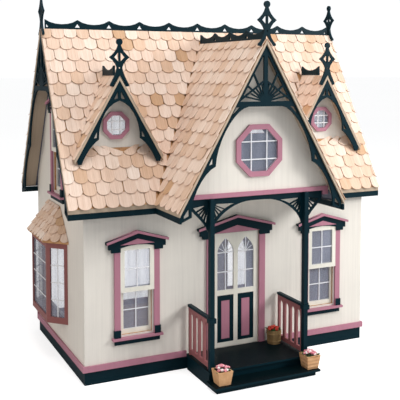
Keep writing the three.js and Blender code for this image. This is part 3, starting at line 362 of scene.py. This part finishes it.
def courses(eave_left, eave_right, top_left, top_right, obstacles=(), overhang=2.4, lift=0.0,
            exposure=EXPOSURE, width=SHINGLE_WIDTH, gap=None):
    """Shingles on one flat slope, as arrays. A shingle is a row of sections down its length: straight
    sides, then a half ellipse to its butt, and a thickness that tapers towards its covered end. The
    slope's slanting ends, any gable standing on it and a gap left in it trim each section."""
    el, er, tl, tr = (np.array(p, float) for p in (eave_left, eave_right, top_left, top_right))
    across = (er - el) / np.linalg.norm(er - el)
    rise_line = tl - el
    up = rise_line - across * (rise_line @ across)
    length = np.linalg.norm(up)
    up = up / length
    out = np.cross(across, up)
    reach = (er - el) @ across
    lean_left = (tl - el) @ across / length
    lean_right = ((tr - el) @ across - reach) / length
    count = int(np.ceil(length / exposure))
    level = np.arange(count)
    per_course = int(np.ceil(reach / width)) + 16
    k, j = np.meshgrid(level, np.arange(-8, per_course - 8), indexing="ij")
    centre = (j + 0.5 * (k % 2) + 0.25) * width + chance.normal(0, 0.45, k.shape)
    butt = k * exposure - overhang + chance.normal(0, 0.45, k.shape)
    centre, butt = centre.ravel(), butt.ravel()
    half = width / 2 - 0.22 + chance.uniform(-0.3, 0.1, centre.shape)
    turn = chance.normal(0, 0.014, centre.shape)
    curl = chance.uniform(0, 0.55, centre.shape)
    angle = np.radians([0, 24, 44, 62, 78])
    depth = 6.8
    along = np.concatenate([[exposure + overhang + 2.0], depth - depth * np.sin(angle)])
    spread = np.concatenate([[1.0], np.cos(angle)])
    v = np.minimum(butt[:, None] + along[None, :], length - 0.2)
    left = centre[:, None] - half[:, None] * spread + turn[:, None] * along
    right = centre[:, None] + half[:, None] * spread + turn[:, None] * along
    low = lean_left * v
    high = np.maximum(reach + lean_right * v, low)
    for where, apex, foot in obstacles:
        z = el[2] + up[2] * v
        blocked = np.where(z > foot, np.maximum(apex - z, 0) / RISE, 0)
        at = where - el[0] if across[0] > 0 else el[0] - where
        toward = (centre < at)[:, None]
        high = np.where(toward & (blocked > 0), np.minimum(high, at - blocked), high)
        low = np.where(~toward & (blocked > 0), np.maximum(low, at + blocked), low)
    keep = np.ones(len(centre), bool)
    if gap:
        half_gap, foot, head = gap
        z = el[2] + up[2] * v
        from_middle = centre - reach / 2
        within = np.abs(from_middle) < half_gap
        keep &= ~(within & (z[:, -1] > foot - 2) & (z[:, -1] < head - 3))
        below = (within & (z[:, -1] <= foot - 2))[:, None]
        v = np.where(below, np.minimum(v, (foot - el[2]) / up[2]), v)
        beside = ~within[:, None] & (z > foot) & (z < head)
        high = np.where(beside & (from_middle < 0)[:, None], np.minimum(high, reach / 2 - half_gap), high)
        low = np.where(beside & (from_middle > 0)[:, None], np.maximum(low, reach / 2 + half_gap), low)
    left, right = np.maximum(left, low), np.minimum(right, high)
    wide = right - left
    keep &= (wide.max(1) > 2.5) & (wide[:, 1] > 0.6)
    middle = (left + right) / 2
    left, right = np.where(wide < 0.3, middle - 0.15, left), np.where(wide < 0.3, middle + 0.15, right)
    share = along / exposure
    top = 3.0 + lift - 1.5 * share[None, :] + curl[:, None] * np.clip(1 - share * 2, 0, 1)
    thick = 1.25 - 0.45 * share[None, :]
    base = np.maximum(top - thick, 0.1)
    u4 = np.stack([left, right, right, left], -1)
    h4 = np.stack([top, top, base, base], -1)
    v4 = np.repeat(v[:, :, None], 4, 2)
    points = el + u4[..., None] * across + v4[..., None] * up + h4[..., None] * out
    uv = np.stack([u4 + chance.uniform(0, 900, (len(centre), 1, 1)), v4], -1) * MM
    tone = np.clip(chance.beta(4.2, 2.6, len(centre)) - 0.5 * (chance.random(len(centre)) < 0.06), 0, 1)
    return points[keep], uv[keep], tone[keep]


def shingle_wood():
    """Split softwood: a tone for each shingle through a ramp, with fine lines that follow its length."""
    material, tree, shader = new_material("shingle_wood")
    tone = tree.nodes.new("ShaderNodeAttribute")
    tone.attribute_name = "tone"
    base = ramp(tree, tone.outputs["Fac"], [(0.0, (0.62, 0.40, 0.24)), (0.3, (0.74, 0.53, 0.39)),
                                            (0.62, (0.83, 0.65, 0.54)), (1.0, (0.91, 0.79, 0.70))])
    grain_map = tree.nodes.new("ShaderNodeUVMap")
    grain_map.uv_map = "grain"
    lines = streaks(tree, grain_map.outputs["UV"], (900, 26, 1), 1.0, 5)
    bands = streaks(tree, grain_map.outputs["UV"], (170, 9, 1), 1.0, 2)
    dark_lines = ramp(tree, lines, [(0.3, (0.80, 0.74, 0.68)), (0.56, (1, 1, 1))])
    band_tone = ramp(tree, bands, [(0.3, (0.90, 0.85, 0.80)), (0.65, (1, 1, 1))])
    grained = mixed(tree, "MULTIPLY", 0.85, base, dark_lines)
    tree.links.new(mixed(tree, "MULTIPLY", 0.9, grained, band_tone), shader.inputs["Base Color"])
    shader.inputs["Roughness"].default_value = 0.72
    bump(tree, lines, 0.00015, 0.5, shader)
    return material


shingle = shingle_wood()


def shingled(name, slopes, *hidden):
    """Lays the courses of several slopes as one piece that stands for the hidden nodes."""
    laid = [courses(*slope) for slope in slopes]
    points, uv, tone = (np.concatenate([part[i] for part in laid]) for i in range(3))
    made = solid_sheaf(name, points, shingle, "house", uv, tone)
    if hidden:
        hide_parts(*hidden)


DORMER_FOOT_ON_ROOF = 349.0
standing_on_front = [(0.0, GABLE_TOP + 3, 0.0), (-DORMER_X, DORMER_APEX, DORMER_FOOT_ON_ROOF),
                     (DORMER_X, DORMER_APEX, DORMER_FOOT_ON_ROOF)]
shingled("main_front_shingles", [(
    (-ROOF_HALF, -EAVE_OVERHANG, EAVE_TOP), (ROOF_HALF, -EAVE_OVERHANG, EAVE_TOP),
    (-ROOF_HALF, RIDGE_Y - 1, RIDGE_TOP), (ROOF_HALF, RIDGE_Y - 1, RIDGE_TOP),
    standing_on_front)], "front_shingles")

rear_eave_y = 2 * RIDGE_Y + EAVE_OVERHANG
rear_gap = (215.0, 345.0, 448.0)  # half width, foot and head of the opening into the attic
shingled("rear_shingles", [(
    (ROOF_HALF, rear_eave_y, EAVE_TOP), (-ROOF_HALF, rear_eave_y, EAVE_TOP),
    (ROOF_HALF, RIDGE_Y + 1, RIDGE_TOP), (-ROOF_HALF, RIDGE_Y + 1, RIDGE_TOP),
    (), 2.4, 0.4, EXPOSURE, SHINGLE_WIDTH, rear_gap)])

GABLE_FRONT = -101.8
valley_foot, valley_head = -EAVE_OVERHANG - 2.5, valley_y(GABLE_TOP) - 2.5
shingled("gable_left_shingles", [(
    (-GABLE_RUN, valley_foot, EAVE_TOP), (-GABLE_RUN, GABLE_FRONT, EAVE_TOP),
    (-0.6, valley_head, GABLE_TOP), (-0.6, GABLE_FRONT, GABLE_TOP))], "gable_shingles_left")
shingled("gable_right_shingles", [(
    (GABLE_RUN, GABLE_FRONT, EAVE_TOP), (GABLE_RUN, valley_foot, EAVE_TOP),
    (0.6, GABLE_FRONT, GABLE_TOP), (0.6, valley_head, GABLE_TOP))], "gable_shingles_right")

DORMER_FRONT = 15.0
dormer_foot = DORMER_APEX - DORMER_RUN * RISE
foot_y, top_y = valley_y(dormer_foot) - 2, valley_y(DORMER_APEX) - 2
for side, at in (("left", -DORMER_X), ("right", DORMER_X)):
    shingled("dormer_" + side + "_shingles", [
        ((at - DORMER_RUN, foot_y, dormer_foot), (at - DORMER_RUN, DORMER_FRONT, dormer_foot),
         (at - 0.4, top_y, DORMER_APEX), (at - 0.4, DORMER_FRONT, DORMER_APEX), (), 1.0, -1.0),
        ((at + DORMER_RUN, DORMER_FRONT, dormer_foot), (at + DORMER_RUN, foot_y, dormer_foot),
         (at + 0.4, DORMER_FRONT, DORMER_APEX), (at + 0.4, top_y, DORMER_APEX), (), 1.0, -1.0)])

# ---- Windows ----
# Each window has mauve casings, a mauve crown strip over a green stepped board with a mauve panel let
# in, green foot blocks and apron, and cream sashes with white bars printed on clear acrylic.
white_print = brushed_paint("white_print", (0.86, 0.87, 0.90), 0.4)
sash_cream = brushed_paint("sash_paint", (0.84, 0.82, 0.73), 0.42, (200, 200, 30))


def clear_acrylic():
    """Clear sheet, mostly see-through, under a pale blue semi-opaque film that is part tint and part
    painted reflection of a pale sky; faint upright smears make the film thicker in places.
    """
    material, tree, shader = new_material("clear_acrylic")
    place = tree.nodes.new("ShaderNodeTexCoord").outputs["Object"]
    smears = streaks(tree, place, (60, 60, 7), 1.0, 2)
    # The film's opacity, thicker along the smears: part tint, part painted reflection.
    haze_and_painted_reflection = tree.nodes.new("ShaderNodeMapRange")
    haze_and_painted_reflection.inputs["From Min"].default_value = 0.3
    haze_and_painted_reflection.inputs["From Max"].default_value = 0.7
    haze_and_painted_reflection.inputs["To Min"].default_value = 0.24
    haze_and_painted_reflection.inputs["To Max"].default_value = 0.44
    tree.links.new(smears, haze_and_painted_reflection.inputs["Value"])
    tree.links.new(haze_and_painted_reflection.outputs["Result"], shader.inputs["Alpha"])
    # Pale blue film colour, lit by the lamps: part tint, part painted reflection of a pale sky.
    shader.inputs["Base Color"].default_value = (0.40, 0.44, 0.56, 1)
    shader.inputs["Roughness"].default_value = 0.06
    shader.inputs["IOR"].default_value = 1.49
    return material


acrylic = clear_acrylic()
SASH_HALF = 27.5
SASH_HEAD = 141.3
CROWN_APEX = 149.4
CROWN_OUT = 4.9


def window_local(centre, normal, at, sill, turn):
    """Turns drawing millimetres into distances across, out from the wall and above the sill."""
    if turn == 0:
        return centre[:, 0] - at, -centre[:, 1], centre[:, 2] - sill, -normal[:, 1]
    return centre[:, 1] - at, turn * centre[:, 0] - 250, centre[:, 2] - sill, turn * normal[:, 0]


def glazing(across, out, facing, pane_front, pane_back, x_limit):
    """Faces on the two sides of a pane, and faces of the bars in front of it."""
    flat = np.abs(facing) > 0.9
    inside = np.abs(across) < x_limit
    pane = flat & inside & ((np.abs(out - pane_front) < 0.12) | (np.abs(out - pane_back) < 0.12))
    return pane, inside & ~pane


def window_trim(at, sill, turn, fixed_lower):
    """Index by part: 0 mauve, 1 green, 2 sash paint, 3 bars, 4 acrylic."""
    def choose(centre, normal):
        across, out, up, facing = window_local(centre, normal, at, sill, turn)
        index = np.zeros(len(across), int)
        index[(out > 4.2) & (out < 6) & (up > 130)] = 1
        index[(out < 6) & (up > 130.6) & (np.abs(across) > SASH_HALF + 0.5)] = 1
        index[(out < 5.4) & (up < 11.8) & (up > 0) & (np.abs(across) > SASH_HALF)] = 1
        index[(up < -3.5)] = 1
        low = -1 if fixed_lower else 67.5
        sash = (np.abs(across) < SASH_HALF - 0.05) & (up > low) & (up < 141.2) & (out < 3.6)
        index[sash] = 2
        pane, bars = glazing(across, out, facing, 1.7, 0.7, 20.45)
        light = sash & (up < 132.6) & (up > (10.4 if fixed_lower else 75))
        index[light & bars & (out > 1.6) & (out < 2.7) & (np.abs(across) < 20.3)] = 3
        index[light & pane] = 4
        return index
    return choose


def sash_faces(at, sill, turn):
    """Index by part: 0 sash paint, 1 bars, 2 acrylic."""
    def choose(centre, normal):
        across, out, up, facing = window_local(centre, normal, at, sill, turn)
        index = np.zeros(len(across), int)
        front = out.max()
        pane, bars = glazing(across, out, facing, front - 1.8, front - 2.8, 20.45)
        light = (up > 10.4) & (up < 66.1)
        index[light & bars & (out < front - 0.9) & (out > front - 1.9) & (np.abs(across) < 20.3)] = 1
        index[light & pane] = 2
        return index
    return choose


def tympanum(name, at, turn, foot, apex, half, out):
    """A thin triangular panel: its foot's two corners and its apex, carried forward by its thickness."""
    across = np.array([[-half, half, 0.0]] * 2)
    up = np.array([[foot, foot, apex]] * 2)
    forward = np.array([[out + 0.7] * 3, [out - 0.2] * 3])
    if turn == 0:
        points = np.stack([at + across, -forward, up], -1)
    else:
        points = np.stack([turn * (250 + forward), at + turn * across, up], -1)
    solid_sheaf(name, points[None], mauve, "house")


trim_layers = [mauve, green, sash_cream, white_print, acrylic]
sash_layers = [sash_cream, white_print, acrylic]
FRONT_SILL = 66.0
SIDE_SILL = 268.0
for side, at in (("left", -167.0), ("right", 167.0)):
    dress("front_window_" + side + "_trim", trim_layers, window_trim(at, FRONT_SILL, 0, False))
    dress("front_window_" + side + "_sash", sash_layers, sash_faces(at, FRONT_SILL, 0))
    tympanum("front_window_" + side + "_panel", at, 0, FRONT_SILL + SASH_HEAD, FRONT_SILL + CROWN_APEX,
             SASH_HALF, CROWN_OUT)
dress("side_window_left_trim", trim_layers, window_trim(RIDGE_Y, SIDE_SILL, -1, False))
dress("side_window_left_sash", sash_layers, sash_faces(RIDGE_Y, SIDE_SILL, -1))
dress("side_window_right_trim", trim_layers, window_trim(RIDGE_Y, SIDE_SILL, 1, True))
for side, turn in (("left", -1), ("right", 1)):
    tympanum("side_window_" + side + "_panel", RIDGE_Y, turn, SIDE_SILL + SASH_HEAD, SIDE_SILL + CROWN_APEX,
             SASH_HALF, CROWN_OUT)


def octagon_faces(centre, normal):
    """A mauve ring round an acrylic pane with white bars."""
    index = np.zeros(len(centre), int)
    front = centre[:, 1].min()
    depth = centre[:, 1] - front
    span = (centre[:, 0].max() - centre[:, 0].min()) / 2
    mid_x = (centre[:, 0].max() + centre[:, 0].min()) / 2
    mid_z = (centre[:, 2].max() + centre[:, 2].min()) / 2
    ring = 8.2 if span > 30 else 6.4
    inside = (np.abs(centre[:, 0] - mid_x) < span - ring) & (np.abs(centre[:, 2] - mid_z) < span - ring)
    flat = np.abs(normal[:, 1]) > 0.9
    pane = flat & inside & (depth > 2.8)
    index[inside & ~pane & (depth > 1.9) & (depth < 3.1)] = 1
    index[pane] = 2
    return index


for node in ("gable_octagon_window", "dormer_octagon_left", "dormer_octagon_right"):
    dress(node, [mauve, white_print, acrylic], octagon_faces)

# ---- Front door ----
# The leaf is cream with two pointed lights over two sunk green panels, each with a raised mauve strip.
# White bars cross the lights, and fine ones fan out in their heads.
DOOR_X = 3.0
LEAF_FOOT = 24.8


def door_faces(centre, normal):
    """Index by part: 0 cream, 1 green, 2 mauve, 3 bars, 4 acrylic."""
    across, depth, up = np.abs(centre[:, 0] - DOOR_X), centre[:, 1], centre[:, 2] - LEAF_FOOT
    index = np.zeros(len(across), int)
    panel = (across > 3.7) & (across < 33.1) & (up > 7.4) & (up < 84.1) & (depth < 1)
    index[panel & (depth > 0.05)] = 1
    index[panel & (across > 10.9) & (across < 25.6) & (up > 12.9) & (up < 75.1) & (depth < 0.79)] = 2
    light = (across > 3.8) & (across < 32.95) & (up > 92.2) & (up < 177)
    index[light & (depth > 0.55) & (depth < 1.19)] = 3
    on_pane = (np.abs(depth - 1.2) < 0.1) | (np.abs(depth - 2.2) < 0.1)
    index[light & (np.abs(normal[:, 1]) > 0.9) & on_pane] = 4
    return index


def flat_bars(ends, width, y0, y1):
    """Straight bars in the door's plane: each runs between two (across, up) ends, square to its width."""
    ends = np.array(ends, float)
    run = ends[:, 1] - ends[:, 0]
    side = np.stack([-run[:, 1], run[:, 0]], -1) / np.linalg.norm(run, axis=1)[:, None] * width / 2
    low, high = ends - side[:, None], ends + side[:, None]
    corners = np.stack([low, low, high, high], 2)
    depth = np.broadcast_to(np.array([y1, y0, y0, y1]), corners.shape[:3])
    return np.stack([corners[..., 0], depth, corners[..., 1]], -1)


dress("front_door", [sash_cream, green, mauve, white_print, acrylic], door_faces)
dress("door_trim", [mauve, green],
      lambda c, n: np.where((c[:, 2] > 202.6) & (-c[:, 1] < 6), 1, 0))
tympanum("door_panel", DOOR_X, 0, 210.9, 222.0, 41.0, CROWN_OUT)
hub_z = LEAF_FOOT + 153.2
LIGHT_APART = 18.4
rays = [((x, hub_z), (x + reach, hub_z + height)) for x in (DOOR_X - LIGHT_APART, DOOR_X + LIGHT_APART)
        for reach, height in ((-11.5, 7.6), (-6.0, 15.0), (6.0, 15.0), (11.5, 7.6))]
solid_sheaf("front_door_fan_bars", flat_bars(rays, 0.9, 0.7, 1.25), white_print, "front_door")

# ---- Bay window ----
# A plywood bay in the mauve trim paint, darkened to reddish brown as painted shade, with clear panes and
# printed bars, under a small hipped roof whose board is covered with the same rounded shingles.
# The bay's frame takes the mauve darkened as painted shade.
dress("bay_window", [bay_shaded_mauve, acrylic, white_print])
bay_centres, bay_normals = drawing_units("bay_window")
bay_plan = np.array([[-250.0, 88.0], [-277.0, 115.0], [-277.0, 215.0], [-250.0, 242.0]])
bay_index = np.zeros(len(bay_centres), np.int32)
for start, end in zip(bay_plan[:-1], bay_plan[1:]):
    run = (end - start) / np.linalg.norm(end - start)
    outward = np.array([-run[1], run[0]])
    if outward[0] > 0:
        outward = -outward
    relative = bay_centres[:, :2] - start
    along, inward = relative @ run, -(relative @ outward)
    limit = np.linalg.norm(end - start)
    light = (along > 6.4) & (along < limit - 6.4) & (bay_centres[:, 2] > 75.5) & (bay_centres[:, 2] < 187.5)
    facing = np.abs(bay_normals[:, :2] @ outward) > 0.9
    pane = light & facing & ((np.abs(inward - 1.8) < 0.12) | (np.abs(inward - 2.8) < 0.12))
    bars = light & ~pane & (inward > 1.25) & (inward < 1.85)
    edge = (along > 6.6) & (along < limit - 6.6) & (bay_centres[:, 2] > 76.2) & (bay_centres[:, 2] < 186.8)
    bay_index[bars & edge] = 2
    bay_index[pane] = 1
nodes["bay_window"].data.polygons.foreach_set("material_index", bay_index)

dress("bay_roof", [orange_wood])
near_wall, near, far_corner, far_wall = [
    (x, y, 199.8) for x, y in ((-250.3, 80.2), (-283.0, 112.3), (-283.0, 217.7), (-250.3, 249.8))]
near_top_wall, near_top, far_top, far_top_wall = [
    (x, y, 249.5) for x, y in ((-250.4, 128.6), (-250.6, 129), (-250.6, 201), (-250.4, 201.4))]
small_shingles = ((), 1.6, -0.9, 13.5, 17.0)  # no obstacles, then overhang, lift, exposure and width
shingled("bay_shingles", [
    (far_corner, near, far_top, near_top, *small_shingles),
    (near, near_wall, near_top, near_top_wall, *small_shingles),
    (far_wall, far_corner, far_top_wall, far_top, *small_shingles)])

# ---- Flower pots ----
# Square tapered pots in pale clay, full of earth, with leaves and ruffled pink and white blossoms.
# The right pot has shallow grooves pressed round it.


def clay(name, grooves):
    """Pale clay: cloudy tan colour, a fine grit, and level grooves where the pot has them."""
    material, tree, shader = new_material(name)
    place = tree.nodes.new("ShaderNodeTexCoord").outputs["Object"]
    clouds = streaks(tree, place, (1, 1, 1), 120, 4)
    base = ramp(tree, clouds, [(0.3, (0.56, 0.29, 0.13)), (0.7, (0.70, 0.42, 0.22))])
    tree.links.new(base, shader.inputs["Base Color"])
    shader.inputs["Roughness"].default_value = 0.75
    if grooves:
        wave = tree.nodes.new("ShaderNodeTexWave")
        wave.bands_direction = "Z"
        wave.inputs["Scale"].default_value = 55
        wave.inputs["Distortion"].default_value = 0.4
        tree.links.new(place, wave.inputs["Vector"])
        bump(tree, wave.outputs["Fac"], 0.0006, 0.8, shader)
    else:
        bump(tree, clouds, 0.0002, 0.6, shader)
    return material


def speckled(name, dark, light, scale, rough):
    """A soft two-tone surface from fine noise, for earth, leaves and petals."""
    material, tree, shader = new_material(name)
    place = tree.nodes.new("ShaderNodeTexCoord").outputs["Object"]
    grains = streaks(tree, place, (1, 1, 1), scale, 5)
    tree.links.new(ramp(tree, grains, [(0.32, dark), (0.68, light)]), shader.inputs["Base Color"])
    shader.inputs["Roughness"].default_value = rough
    bump(tree, grains, 0.0004, 0.6, shader)
    return material


earth = speckled("earth", (0.015, 0.009, 0.005), (0.06, 0.035, 0.02), 900, 0.9)
leaf = speckled("leaf_green", (0.008, 0.03, 0.008), (0.04, 0.12, 0.03), 350, 0.5)
pink = speckled("pink_petal", (0.60, 0.13, 0.20), (0.90, 0.42, 0.47), 420, 0.6)
white_petal = speckled("white_petal", (0.80, 0.62, 0.62), (0.95, 0.90, 0.88), 420, 0.6)
red = speckled("red_petal", (0.30, 0.012, 0.008), (0.66, 0.06, 0.03), 420, 0.6)


def earth_on_top(centre, normal):
    """The upward faces inside the rim are earth."""
    low = centre[:, 2] < centre[:, 2].max() - 0.8
    return np.where((normal[:, 2] > 0.9) & low, 1, 0)


def blossoms(centres, radius):
    """Ruffled balls: radius R times (1 + 0.22 cos 5t sin p), squashed a little, each turned by chance."""
    count = len(centres)
    p = np.radians([4, 30, 60, 90, 125, 176])[None, :, None]
    t = np.linspace(0, 2 * np.pi, 10, endpoint=False)[None, None, :]
    spin = chance.uniform(0, 6.3, (count, 1, 1))
    size = radius * chance.uniform(0.8, 1.15, (count, 1, 1))
    reach = size * (1 + 0.22 * np.cos(5 * t) * np.sin(p))
    ball = np.stack([reach * np.sin(p) * np.cos(t + spin), reach * np.sin(p) * np.sin(t + spin),
                     -0.75 * reach * np.cos(p) * np.ones_like(t)], -1)
    return ball + np.array(centres)[:, None, None, :]


def leaves(roots, length, width):
    """Pointed leaves: half width w sin(pi s) along a stem that leans out and droops with s squared."""
    count = len(roots)
    s = np.linspace(0.03, 0.97, 6)[None, :]
    heading = chance.uniform(0, 2 * np.pi, (count, 1))
    size = length * chance.uniform(0.7, 1.2, (count, 1))
    lean = chance.uniform(0.5, 1.2, (count, 1))
    out = size * s * np.sin(lean)
    up = size * s * np.cos(lean) - 0.3 * size * s ** 2
    half = width * np.sin(np.pi * s) * np.ones((count, 1))
    stem = np.stack([out * np.cos(heading), out * np.sin(heading), up], -1) + np.array(roots)[:, None, :]
    sideways = np.stack([-np.sin(heading), np.cos(heading), 0 * heading], -1)
    rise_up = np.array([0, 0, 0.25])
    return np.stack([stem + half[..., None] * sideways, stem - rise_up, stem - half[..., None] * sideways,
                     stem + rise_up], 2)


LEAVES = 46
GOLDEN_ANGLE = 2.39996


def planted(body, at_x, at_y, foot, spread, petals, count, radius):
    """Leaves and blossoms in a dome over the earth at a height, riding with their holder."""
    roots = np.stack([at_x + chance.uniform(-spread, spread, LEAVES),
                      at_y + chance.uniform(-spread, spread, LEAVES), np.full(LEAVES, foot - 0.4)], -1)
    solid_sheaf(body + "_leaves", leaves(roots, 8.0, 1.7), leaf, body)
    ring = chance.permutation(count)
    r = spread * np.sqrt((ring + 0.5) / count) * 1.02
    t = np.arange(count) * GOLDEN_ANGLE
    height = foot + 6.2 - 3.4 * (r / spread) ** 2 + chance.uniform(-0.6, 0.8, count)
    centres = np.stack([at_x + r * np.cos(t), at_y + r * np.sin(t), height], -1)
    share = np.arange(count) % len(petals)
    for i, petal in enumerate(petals):
        some = blossoms(centres[share == i], radius)
        solid_sheaf(body + "_blossoms_" + str(i + 1), some, petal, body)


POT_EARTH = 10.8 + 20.5 - 1.2
dress("planter_left", [clay("plain_clay", False), earth], earth_on_top)
dress("planter_right", [clay("grooved_clay", True), earth], earth_on_top)
planted("planter_left", -71.7, -100.0, POT_EARTH, 9.6, [pink, white_petal, pink], 18, 2.5)
planted("planter_right", 80.0, -100.0, POT_EARTH, 9.6, [pink, white_petal, pink], 18, 2.5)

# ---- Flower basket ----
# A round basket of upright twigs bound by two bands, by the door, with red flowers over its rim.
twig = bare_plywood("twig_bark", (0.09, 0.05, 0.02), (0.24, 0.15, 0.06), (0.40, 0.27, 0.12), (300, 300, 30))
dress("flower_basket", [twig, earth], earth_on_top)
TWIGS = 30
BASKET_X, BASKET_Y = 65.0, -17.0
around = np.linspace(0, 2 * np.pi, TWIGS, endpoint=False)[:, None, None]
share = np.linspace(0, 1, 4)[None, :, None]
section = np.linspace(0, 2 * np.pi, 6, endpoint=False)[None, None, :]
sway = chance.normal(0, 0.035, (TWIGS, 1, 1))
thick = chance.uniform(0.75, 1.15, (TWIGS, 1, 1)) * (1 - 0.2 * share)
ring_radius = 9.6 + 1.9 * share
height = 24.4 + (21.6 + chance.uniform(-1.2, 1.6, (TWIGS, 1, 1))) * share
bearing = around + sway * (share - 0.5) * 2
offset = ring_radius + thick * np.cos(section)
slide = thick * np.sin(section)
twigs = np.stack([BASKET_X + offset * np.cos(bearing) - slide * np.sin(bearing),
                  BASKET_Y + offset * np.sin(bearing) + slide * np.cos(bearing),
                  height * np.ones_like(section)], -1)
solid_sheaf("basket_twigs", twigs, twig, "flower_basket")
loop = np.linspace(0, 2 * np.pi, 33)[None, :, None]
level = np.array([29.5, 41.0])[:, None, None]
band_radius = 10.45 + (level - 24.3) * 0.09 + 0.6 * np.cos(section)
bands = np.stack([BASKET_X + band_radius * np.cos(loop), BASKET_Y + band_radius * np.sin(loop),
                  level + 0.6 * np.sin(section) + 0 * loop], -1)
solid_sheaf("basket_bands", bands, twig, "flower_basket")
planted("flower_basket", BASKET_X, BASKET_Y, 45.4, 8.6, [red], 15, 2.5)

# ---- Floor, lights and camera ----
# A wide flat floor of pale paper, which glows to the camera alone so that it meets the air in white.
# Soft key light in front on the right, a soft light above, a warm fill on the left, and a camera to the
# left of the porch that looks a little down.
floor_lines = np.linspace(-60.0, 60.0, 13)
floor_x, floor_y = np.meshgrid(floor_lines, floor_lines)
floor_points = np.stack([floor_x, floor_y, 0 * floor_x], -1).reshape(-1, 3)
corner = (np.arange(12)[:, None] * len(floor_lines) + np.arange(12)).ravel()
floor_faces = np.stack([corner, corner + 1, corner + 14, corner + 13], -1).tolist()
floor_mesh = bpy.data.meshes.new("studio_floor")
floor_mesh.from_pydata(floor_points.tolist(), [], floor_faces)
floor = bpy.data.objects.new("studio_floor", floor_mesh)
bpy.context.scene.collection.objects.link(floor)
floor_paper, floor_tree, floor_shader = new_material("studio_paper")
floor_place = floor_tree.nodes.new("ShaderNodeTexCoord").outputs["Object"]
paper = streaks(floor_tree, floor_place, (1, 1, 1), 0.7, 2)
floor_tree.links.new(ramp(floor_tree, paper, [(0.3, (0.56, 0.56, 0.57)), (0.7, (0.60, 0.60, 0.60))]),
                     floor_shader.inputs["Base Color"])
floor_shader.inputs["Roughness"].default_value = 0.9
floor_shader.inputs["Emission Color"].default_value = (1, 1, 1, 1)
floor_seen = floor_tree.nodes.new("ShaderNodeLightPath")
floor_glow = floor_tree.nodes.new("ShaderNodeMapRange")
floor_glow.inputs["To Min"].default_value = 0.0
floor_glow.inputs["To Max"].default_value = 0.72
floor_tree.links.new(floor_seen.outputs["Is Camera Ray"], floor_glow.inputs["Value"])
floor_tree.links.new(floor_glow.outputs["Result"], floor_shader.inputs["Emission Strength"])
floor_mesh.materials.append(floor_paper)

world = bpy.data.worlds.new("studio_air")
bpy.context.scene.world = world
world.use_nodes = True
air = world.node_tree.nodes["Background"]
air.inputs["Color"].default_value = (0.97, 0.985, 1.0, 1)
seen = world.node_tree.nodes.new("ShaderNodeLightPath")
level_of_light = world.node_tree.nodes.new("ShaderNodeMapRange")
level_of_light.inputs["To Min"].default_value = 0.42
level_of_light.inputs["To Max"].default_value = 1.04
world.node_tree.links.new(seen.outputs["Is Camera Ray"], level_of_light.inputs["Value"])
world.node_tree.links.new(level_of_light.outputs["Result"], air.inputs["Strength"])


def soft_light(name, place, target, size, energy, colour):
    """A square soft box that points at a target."""
    data = bpy.data.lights.new(name, "AREA")
    data.size, data.energy, data.color = size, energy, colour
    light = bpy.data.objects.new(name, data)
    bpy.context.scene.collection.objects.link(light)
    forward = np.array(target, float) - np.array(place, float)
    forward /= np.linalg.norm(forward)
    level_side = np.cross(forward, (0, 0, 1.0))
    level_side /= np.linalg.norm(level_side)
    over = np.cross(level_side, forward)
    basis = np.eye(4)
    basis[:3, 0], basis[:3, 1], basis[:3, 2], basis[:3, 3] = level_side, over, -forward, place
    light.matrix_world = Matrix(basis.tolist())


soft_light("key_light", (1.35, -1.15, 1.0), (0.15, -0.05, 0.22), 0.7, 27, (1.0, 0.99, 0.97))
soft_light("top_light", (-0.15, -0.75, 2.0), (0.0, 0.0, 0.35), 0.8, 19, (1.0, 0.97, 0.95))
soft_light("left_fill", (-2.4, 0.15, 0.8), (-0.2, 0.05, 0.2), 1.2, 13, (1.0, 0.88, 0.76))

camera_data = bpy.data.cameras.new("camera")
camera_data.lens = 69.36
camera_data.sensor_width = 36.0
camera_data.shift_x = 0.01526
camera_data.shift_y = -0.20124
camera = bpy.data.objects.new("camera", camera_data)
camera.location = PLACE + np.array([-0.57316, -1.0843, 0.46579])
camera.rotation_euler = (np.radians(86.5), 0, -np.radians(24.84))
bpy.context.scene.collection.objects.link(camera)
bpy.context.scene.camera = camera
bpy.context.scene.view_settings.view_transform = "Standard"
